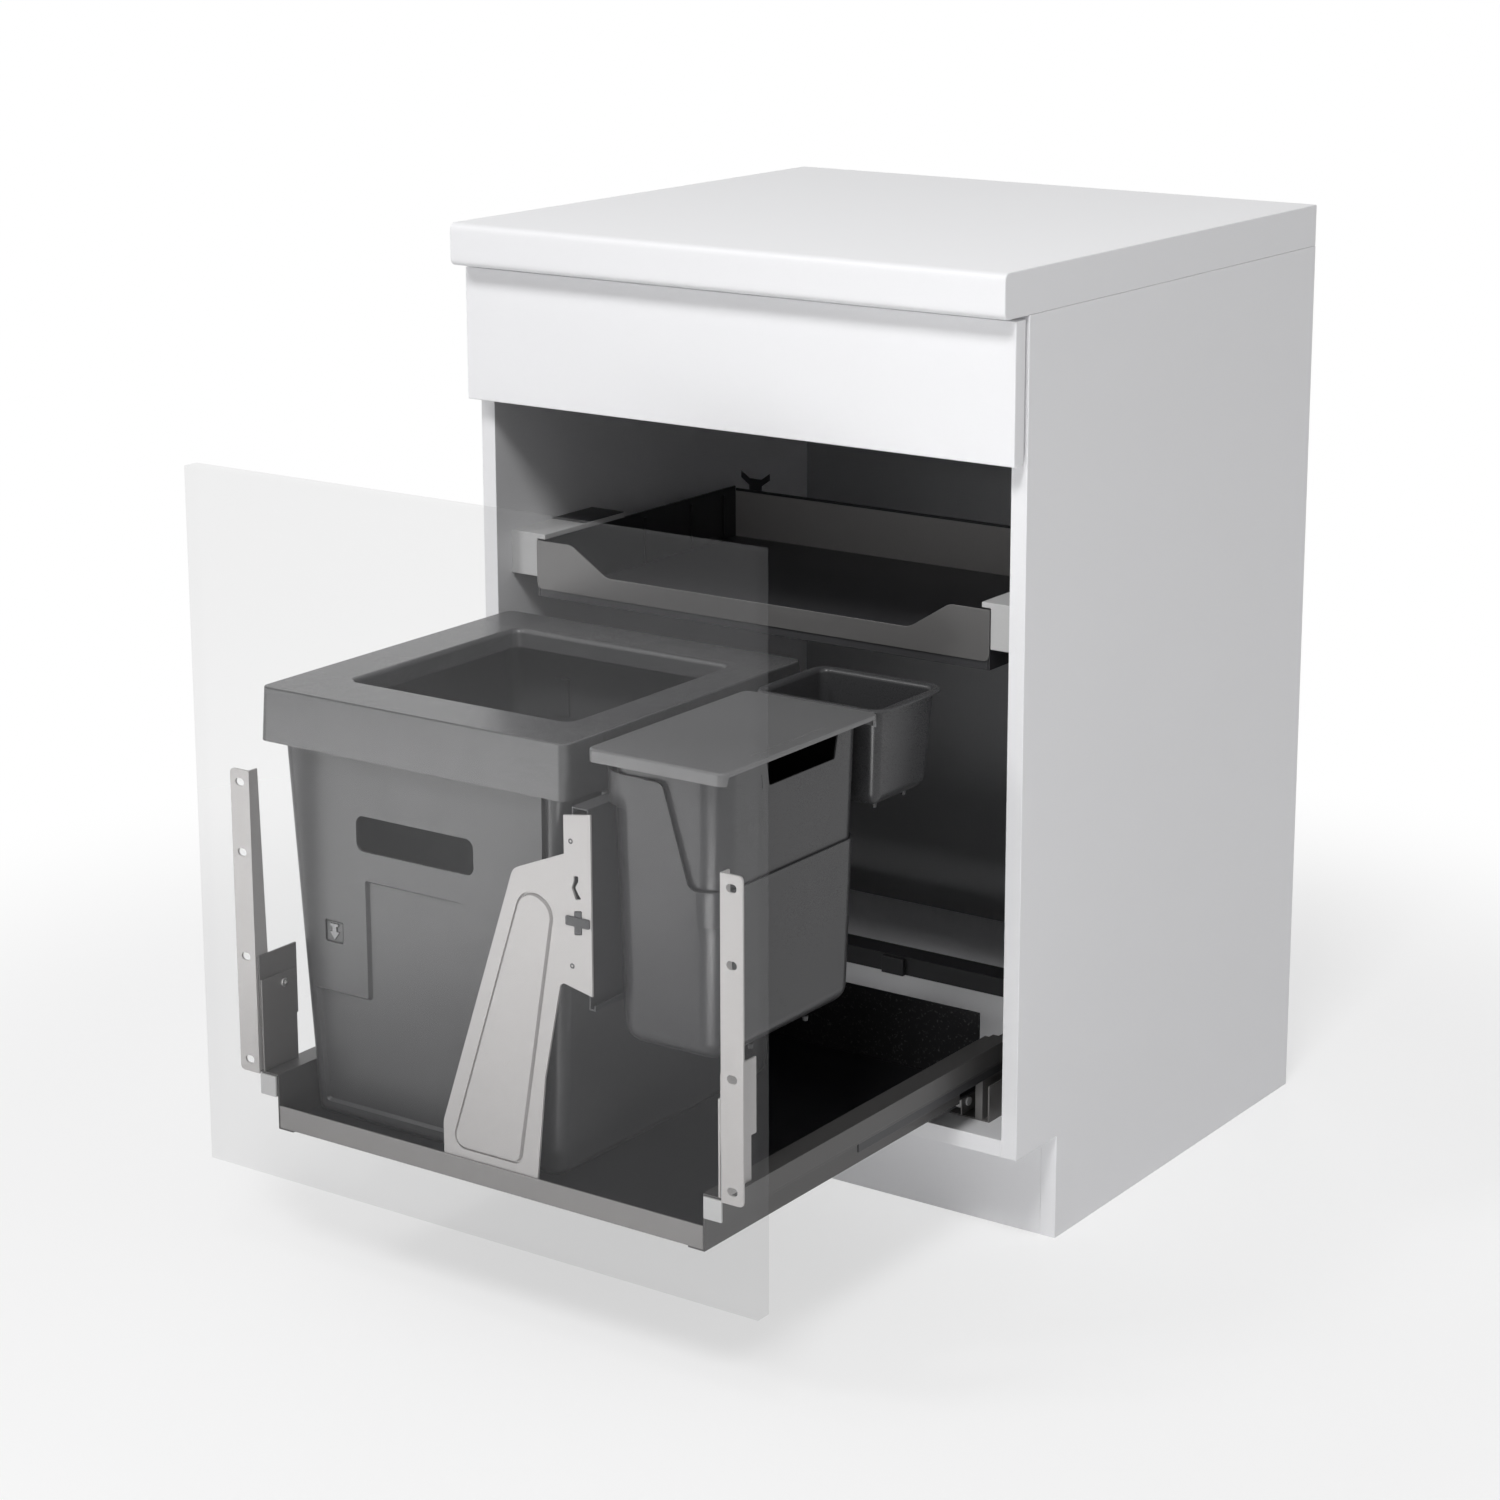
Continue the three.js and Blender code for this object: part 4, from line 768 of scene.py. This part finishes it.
def fillHolderWall(form, look, wall, strips, leftEdge):
    # the front or back wall, from the corners of the strips taken out and the left side's edge
    flat = [corner.copy() for corner in strips[0][:2] + strips[-1][2:]]
    flat[2].y = flat[3].y = leftEdge[0].y       # the wall's own plane leaves out the band's step
    place = wallPlace(flat, 0)
    strips = [leftFirst(strip) for strip in strips]
    bottomSide = flatPoints(strips[0][:2])
    right = flatPoints(strip[2] for strip in strips)
    left = flatPoints(reversed(leftEdge)) + flatPoints(strip[3] for strip in reversed(strips[:-1]))
    end = (left[0].x, look["top"])
    turnLine = softCorners([right[2], *look["cutLine"], end], steps=6)[1:-1]
    if wall == backWall:
        fillPanel(form, place, bottomSide + right + turnLine + left, [])
        return
    band = softCorners([right[1], *look["bandLine"], end], steps=6)[1:-1]
    fillPanel(form, place, bottomSide + right[:1] + band + left, [])
    fillPanel(form, place, band[::-1] + right[1:] + turnLine, [], -look["bandProud"])
    inner = [form.verts.new(place(p.x, p.y)) for p in band]
    edges = [form.edges.new(pair) for pair in zip(inner, inner[1:])]
    grown = bmesh.ops.extrude_edge_only(form, edges=edges)["geom"]
    step = place(*band[0], -look["bandProud"]) - place(*band[0])
    bmesh.ops.translate(form, vec=step, verts=vertsOf(grown))


def makeSmallHolder(look):
    form = bmesh.new()
    bandBottom, proud = look["bandBottom"], look["bandProud"]
    rings = footRings(look["low"], look["high"], look["bottom"], look["top"], look["foot"])
    rings.append(holderRing(look, bandBottom - look["bandSlope"]))
    rings.append(holderRing(look, bandBottom, proud))
    rings.append(holderRing(look, look["cut"], proud))
    levels = loft(form, rings)
    capLoop(form, levels[0])
    frontEdge, backEdge = raiseLeftSide(form, look, leftSide(levels[-1]))
    walls = levels[footSteps:]
    for wall, leftEdge in ((frontWall, frontEdge), (backWall, backEdge)):
        strips = [removeWall(form, lower, upper, wall) for lower, upper in zip(walls, walls[1:])]
        fillHolderWall(form, look, wall, strips, leftEdge)
    closeForm(form, distance=0.05)
    faceOut(form)
    addHook(form, look)
    addFeet(form, look)
    showPiece("smallHolder", form, "small_bin_holder", "shadedPlastic", wall=look["wall"], edge=0.5,
              angle=35)


smallBucket = {
    "low": (127.15, 226.35, -422.85, -228.65, 19.2),
    "high": (118.6, 234.9, -429.3, -222.2, 23.1),
    "bottom": 288.1, "top": 536, "foot": 13, "wall": 1.8,
    "rim": 1.7, "rimHeight": 4, "rimTurn": 1.5, "rimSoft": 0.4,
    "window": [(-361, 509, 2), (-266, 509, 2), (-262, 531, 2), (-366, 531, 2)],
    "tick": [(-371.4, 508.6), (-370.2, 508.6), (-372.4, 520.5), (-373.6, 520.5)],
    "tickDepth": 0.5, "tickSlope": 0.1,
}


def makeSmallBucket(look):
    form = bmesh.new()
    low, high, bottom, top = look["low"], look["high"], look["bottom"], look["top"]
    under = top - look["wall"]
    wallTop = under - look["rimTurn"]
    rings = footRings(low, high, bottom, top, look["foot"])
    rings.append(grownRing(between(low, high, (wallTop - bottom) / (top - bottom)), 0, wallTop))
    rings.append(grownRing(high, look["rimSoft"], under - look["rimSoft"]))
    rings.append(grownRing(high, look["rim"] - look["rimSoft"], under))
    rings.append(grownRing(high, look["rim"], top - look["rimHeight"]))
    levels = loft(form, rings)
    capLoop(form, levels[0])
    corners = removeWall(form, levels[footSteps], levels[footSteps + 1], rightWall)
    fillPanel(form, wallPlace(corners, 1), flatPoints(corners, 1), [
        {"outline": look["window"]},
        {"outline": look["tick"], "depth": look["tickDepth"], "slope": look["tickSlope"]},
    ])
    closeForm(form)
    faceOut(form)
    showPiece("smallBucket", form, "small_bucket", "shadedPlastic", wall=look["wall"], edge=0.4,
              angle=35)


smallLid = {
    "outline": (107.6, 245.9, -440.3, -215.7, 8),
    "bottom": 527.7, "top": 538.7, "round": 1.8, "roundSteps": 4, "wall": 2.4,
    "rightBottom": 534.9,       # the skirt is low only on three sides
    "groove": [(230.6, -384, 0.5), (232.4, -384, 0.5), (234, -276, 0.5), (232.2, -276, 0.5)],
    "grooveDepth": 0.5, "grooveSlope": 0.2,
}


def makeSmallLid(look):
    form = bmesh.new()
    top, soft = look["top"], look["round"]
    rings = [grownRing(look["outline"], 0, look["bottom"])]
    rightMiddle = 2 * cornerPoints
    for point in rings[0][rightMiddle - 2:rightMiddle + 2]:
        point.z = look["rightBottom"]
    for turn in quarterTurn(look["roundSteps"]):
        z = top - soft * (1 - math.sin(turn))
        rings.append(grownRing(look["outline"], -soft * (1 - math.cos(turn)), z))
    levels = loft(form, rings)
    outline = [vert.co.xy for vert in levels[-1]]

    def place(x, y, depth):
        return Vector((x, y, top - depth))
    fillPanel(form, place, outline, [
        {"outline": look["groove"], "depth": look["grooveDepth"], "slope": look["grooveSlope"]},
    ])
    closeForm(form)
    faceOut(form, (0, -1, 0))
    showPiece("smallLid", form, "small_bin_lid", "lidSheenPlastic", wall=look["wall"], edge=0.35,
              angle=40)


openCaddy = {
    "low": (122.75, 230.75, -199.2, -116.2, 9),
    "high": (116.75, 236.75, -205.2, -110.2, 10),
    "bottom": 448, "top": 538, "foot": 12, "wall": 1.8,
    "rim": 5.2, "rimHeight": 3, "rimTurn": 2.5, "rimSteps": 4, "rimSoft": 0.6,
    "feet": [(222, -187, 445.4), (222, -141, 445.4), (132, -187, 445.4), (132, -141, 445.4)],
    "footSize": (2, 2.4, 4),
    "hook": [(119.2, 491.8), (97, 491.8), (97, 474.5)],
}


def makeCaddy(look):
    form = bmesh.new()
    high, top, rim, bend, soft = (look[key] for key in ("high", "top", "rim", "rimTurn", "rimSoft"))
    under = top - look["wall"]
    rings = footRings(look["low"], high, look["bottom"], top, look["foot"])
    for turn in quarterTurn(look["rimSteps"]):
        z = under - bend * (1 - math.sin(turn))
        rings.append(grownRing(high, bend * (1 - math.cos(turn)), z))
    rings.append(grownRing(high, rim - soft, under))
    rings.append(grownRing(high, rim, under - soft))
    rings.append(grownRing(high, rim, top - look["rimHeight"]))
    levels = loft(form, rings)
    capLoop(form, levels[0])
    closeForm(form)
    faceOut(form)
    addHook(form, look)
    addFeet(form, look)
    showPiece("openCaddy", form, "caddy", "shadedPlastic", wall=look["wall"], edge=0.35, angle=40)


doorPanel = {"low": (-299, -471.25, 99.5), "high": (299, -455.25, 731.5), "edge": 1.2}


def makeDoor(look):
    form = bmesh.new()
    addBox(form, look["low"], look["high"], look["edge"], segments=3)
    showPiece("doorPanel", form, "door", "clearDoor")


supportPlate = {
    "outline": [(-43, 140.8), (57, 140.8), (68.6, 250), (86.8, 338, 5), (119.6, 331),
                (119.6, 486.5), (92, 482), (92, 449), (38, 427, 12), (-43, 186.8, 12)],
    "front": -450.95, "wall": 2,
    "field": [(-33, 167.2, 10), (40.5, 167.2, 8), (79.8, 399, 16), (49.5, 417, 17)],
    "fieldProud": 1.2, "fieldSlope": 1.2,
    "line": 1.7, "lineDepth": 2.1, "lineSlope": 0.2,    # a narrow groove round the raised field
    "hookSlot": [(101.8, 431.6, 1), (106.6, 432.5, 1), (106.6, 427.7, 1), (103.4, 422.1, 2),
                 (106.6, 416.8, 1), (109.8, 412.8, 1), (103.7, 411.6, 1), (99.7, 421.4, 2),
                 (101.8, 427.4, 1)],
    "clipSlot": [(101.8, 381, 1), (109.8, 382.4, 1), (109.8, 403.2, 1), (101.8, 401.8, 1)],
}


def makeSupportPlate(look):
    form = bmesh.new()

    def place(x, z, depth):
        return Vector((x, look["front"] + depth, z))
    outline = anticlockwise(softCorners(look["outline"], steps=6))
    field = anticlockwise(softCorners(look["field"], steps=10))
    raised = {"outline": field, "depth": -look["fieldProud"] - look["lineDepth"],
              "slope": look["fieldSlope"]}
    fillPanel(form, place, outline, [
        {"outline": shrunk(field, -look["line"]), "depth": look["lineDepth"],
         "slope": look["lineSlope"], "inside": [raised]},
        {"outline": look["hookSlot"]},
        {"outline": look["clipSlot"]},
    ])
    closeForm(form)
    faceOut(form, (0, -1, 0))
    showPiece("binSupport", form, "bin_support", "brightSteel", wall=look["wall"], edge=0.35,
              angle=30)


fasteners = {
    # head radius and height, radius and depth of the recess, largest round of the head's edge
    "head": (4, 2.2, 1.5, 1.2, 0.5),
    "countersunk": (2.6, 2.6, 1.1, 1.0, 0.5),
    "rivet": (1.6, 0.9, 0.4, 0.1, 0.5),
    # node it stands for or sits on, place, direction of its head
    "adjusting": [("adjusting_screw_left", (-246.7, -426, 263), (1, 0, 0)),
                  ("adjusting_screw_right", (246.7, -426, 263), (-1, 0, 0))],
    "support": [("support_screw_lower", (99.2, -448.6, 354), (0, -1, 0)),
                ("support_screw_upper", (99.2, -448.6, 461), (0, -1, 0))],
    "rivets": [("side_plate_left", (-249.3, -424.9, 248.7), (1, 0, 0)),
               ("side_plate_left", (-249.3, -419, 240), (1, 0, 0)),
               ("side_plate_left", (-249.3, -432, 238), (1, 0, 0)),
               ("side_plate_right", (249.3, -424.9, 248.7), (-1, 0, 0)),
               ("side_plate_right", (249.3, -419, 240), (-1, 0, 0)),
               ("side_plate_right", (249.3, -432, 238), (-1, 0, 0))],
}


def headProfile(look):
    radius, height, socket, depth, largest = look
    soft = min(largest, height / 2)
    return [(0, height - depth), (socket, height - depth), (socket, height),
            (radius - soft, height), (radius, height - soft), (radius, 0), (0, 0)]


def makeFasteners(look):
    # the support screws are dark as painted shade of the holes they sit in
    for kind, head, finish in (("adjusting", "head", "screwSteel"),
                               ("support", "countersunk", "darkPaintAndShade")):
        for node, place, axis in look[kind]:
            form = bmesh.new()
            addTurned(form, headProfile(look[head]), place, axis)
            closeForm(form)
            showPiece(pieceName(node), form, node, finish, edge=0.12)
    for number, (node, place, axis) in enumerate(look["rivets"], 1):
        form = bmesh.new()
        addTurned(form, headProfile(look["rivet"]), place, axis, steps=16)
        closeForm(form)
        showPiece(f"plateRivet{number}", form, node, "screwSteel", standsFor=False)


rollers = {
    "nodes": [("roller_left", (-215.2, -30.8, 127.7), (-1, 0, 0)),
              ("roller_right", (215.2, -30.8, 127.7), (1, 0, 0))],
    # radius and height along the axle: hub, tyre with a shallow groove round it, axle and its head
    "profile": [(0, 1.2), (2.2, 1.2), (2.2, 0.2), (4.4, 0.2), (4.4, 0.9), (6.8, 0.9), (6.8, 0),
                (7.4, 0), (8, 0.6), (8, 2.2), (7.7, 2.5), (7.7, 4.9), (8, 5.2), (8, 6.9),
                (7.4, 7.5), (2.4, 7.5), (2.4, 9.2), (4.2, 9.2), (4.2, 11.1), (0, 11.1)],
}


def makeRollers(look):
    for node, place, axis in look["nodes"]:
        form = bmesh.new()
        addTurned(form, look["profile"], place, axis, steps=48)
        closeForm(form)
        showPiece(pieceName(node), form, node, "lightPlastic", edge=0.15)


beamClip = {
    "bar": [(93.6, 389, 1), (118, 389, 1), (118, 397, 1), (93.6, 397, 1)],
    "tab": [(102.2, 381.8, 1), (109.4, 383, 1), (109.4, 402.8, 1), (102.2, 401.6, 1)],
    "front": -452.5, "back": -448.6, "tabFront": -451.6,
}


def makeBeamClip(look):
    form = bmesh.new()
    for name, front in (("bar", look["front"]), ("tab", look["tabFront"])):
        outline = anticlockwise(softCorners(look[name]))
        verts = placeLoop(form, [(p.x, look["back"], p.y) for p in outline])
        face = capLoop(form, verts)
        grown = bmesh.ops.extrude_face_region(form, geom=face, use_keep_orig=True)["geom"]
        bmesh.ops.translate(form, vec=(0, front - look["back"], 0), verts=vertsOf(grown))
    closeForm(form)
    showPiece("beamClip", form, "beam_clip", "darkPaintAndShade", edge=0.3)


bracketPads = {
    "across": (-283.4, -243.6), "along": (13, 76.4), "height": (602, 602.9), "edge": 0.4,
}


def makeBracketPads(look):
    for side, node in ((1, "shelf_bracket_left"), (-1, "shelf_bracket_right")):
        form = bmesh.new()
        across = sorted(side * x for x in look["across"])
        low, high = zip(across, look["along"], look["height"])
        addBox(form, low, high, look["edge"])
        showPiece(pieceName(node) + "Pad", form, node, "blackPlastic", standsFor=False)


makeDoor(doorPanel)
makeFasteners(fasteners)
makeRollers(rollers)
makeBeamClip(beamClip)
makeBracketPads(bracketPads)
makeSupportPlate(supportPlate)
makeLargeBin(largeBin)
makeBinRim(binRim)
makeSmallHolder(smallHolder)
makeSmallBucket(smallBucket)
makeSmallLid(smallLid)
makeCaddy(openCaddy)
print("door, fasteners, rollers, support and bins are ready")


softParts = {
    # these keep their CAD shapes, with softened edges; node: (finish, edge width in mm)
    "side_panel_left": ("whiteLacquer", 0.6), "side_panel_right": ("whiteLacquer", 0.6),
    "bottom_panel": ("whiteLacquer", 0.6), "back_panel": ("whiteLacquer", 0.4),
    "front_stretcher": ("whiteLacquer", 0.6), "rear_stretcher": ("whiteLacquer", 0.6),
    "worktop": ("whiteLacquer", 1.2), "plinth_board": ("whiteLacquer", 0.6),
    "upper_front": ("whiteLacquer", 1.0),
    "front_bracket_left": ("greyPaintAndShade", 0.4), "front_bracket_right": ("greyPaintAndShade", 0.4),
    "floor_rail_left": ("greyPaintAndShade", 0.3), "floor_rail_right": ("greyPaintAndShade", 0.3),
    "rail_tie": ("blackPlastic", 0.4), "closing_damper": ("blackPlastic", 0.6),
    "middle_rail_left": ("darkPaintAndShade", 0.3), "middle_rail_right": ("darkPaintAndShade", 0.3),
    "side_channel_left": ("channelPaint", 0.35), "side_channel_right": ("channelPaint", 0.35),
    "moving_rail_left": ("channelPaint", 0.3), "moving_rail_right": ("channelPaint", 0.3),
    "rail_cap_left": ("lightPlastic", 0.3), "rail_cap_right": ("lightPlastic", 0.3),
    "front_rail": ("railSteel", 0.35), "tray_floor": ("darkPaintAndShade", 0.3),
    "floor_mat": ("blackMat", 0.4), "rear_plate": ("speckledBlack", 0.4),
    "door_bracket_left": ("brightSteel", 0.4), "door_bracket_right": ("brightSteel", 0.4),
    # the left side plate and post take the dark grey as painted shade, their mirror parts on the
    # right the bright steel
    "side_plate_left": ("greyPaintAndShade", 0.4), "side_plate_right": ("brightSteel", 0.4),
    "bracket_post_left": ("greyPaintAndShade", 0.4), "bracket_post_right": ("brightSteel", 0.4),
    "hanging_beam": ("darkPaintAndShade", 0.35),
    "shelf_front": ("shelfSteel", 0.35), "shelf_base": ("darkPaintAndShade", 0.35),
    "shelf_rear": ("brightSteel", 0.35), "shelf_rear_trim": ("blackPlastic", 0.4),
    "shelf_side_left": ("blackPlastic", 0.4), "shelf_side_right": ("blackPlastic", 0.4),
    "shelf_bracket_left": ("lightPlastic", 0.6), "shelf_bracket_right": ("lightPlastic", 0.6),
    "shelf_rear_hook_left": ("blackPlastic", 0.3), "shelf_rear_hook_right": ("blackPlastic", 0.3),
}


def softPart(node, finish, edge):
    form = bmesh.new()
    form.from_mesh(frame["nodes"][node].data)
    bmesh.ops.remove_doubles(form, verts=form.verts, dist=0.00001)
    bmesh.ops.dissolve_limit(form, angle_limit=math.radians(1.5), verts=form.verts,
                             edges=form.edges, use_dissolve_boundaries=False)
    return showPiece(pieceName(node), form, node, finish, edge=edge, scale=1)


insideShadeFaces = {
    # the board faces that look into the cabinet get a grey finish, as painted shade of the
    # cabinet's inside; node: (finish, direction)
    "side_panel_left": ("innerBoard", (1, 0, 0)), "side_panel_right": ("innerBoard", (-1, 0, 0)),
    "back_panel": ("backBoard", (0, -1, 0)),
}
sameWay = 0.9       # a face looks in a direction when its normal's share along it is larger


def paintInsideShade(piece, finish, direction):
    paintFaces(piece, finish, lambda face: face.normal.dot(Vector(direction)) > sameWay)


for node, (finish, edge) in softParts.items():
    piece = softPart(node, finish, edge)
    if node in insideShadeFaces:
        paintInsideShade(piece, *insideShadeFaces[node])
print("boards and steel parts are ready")
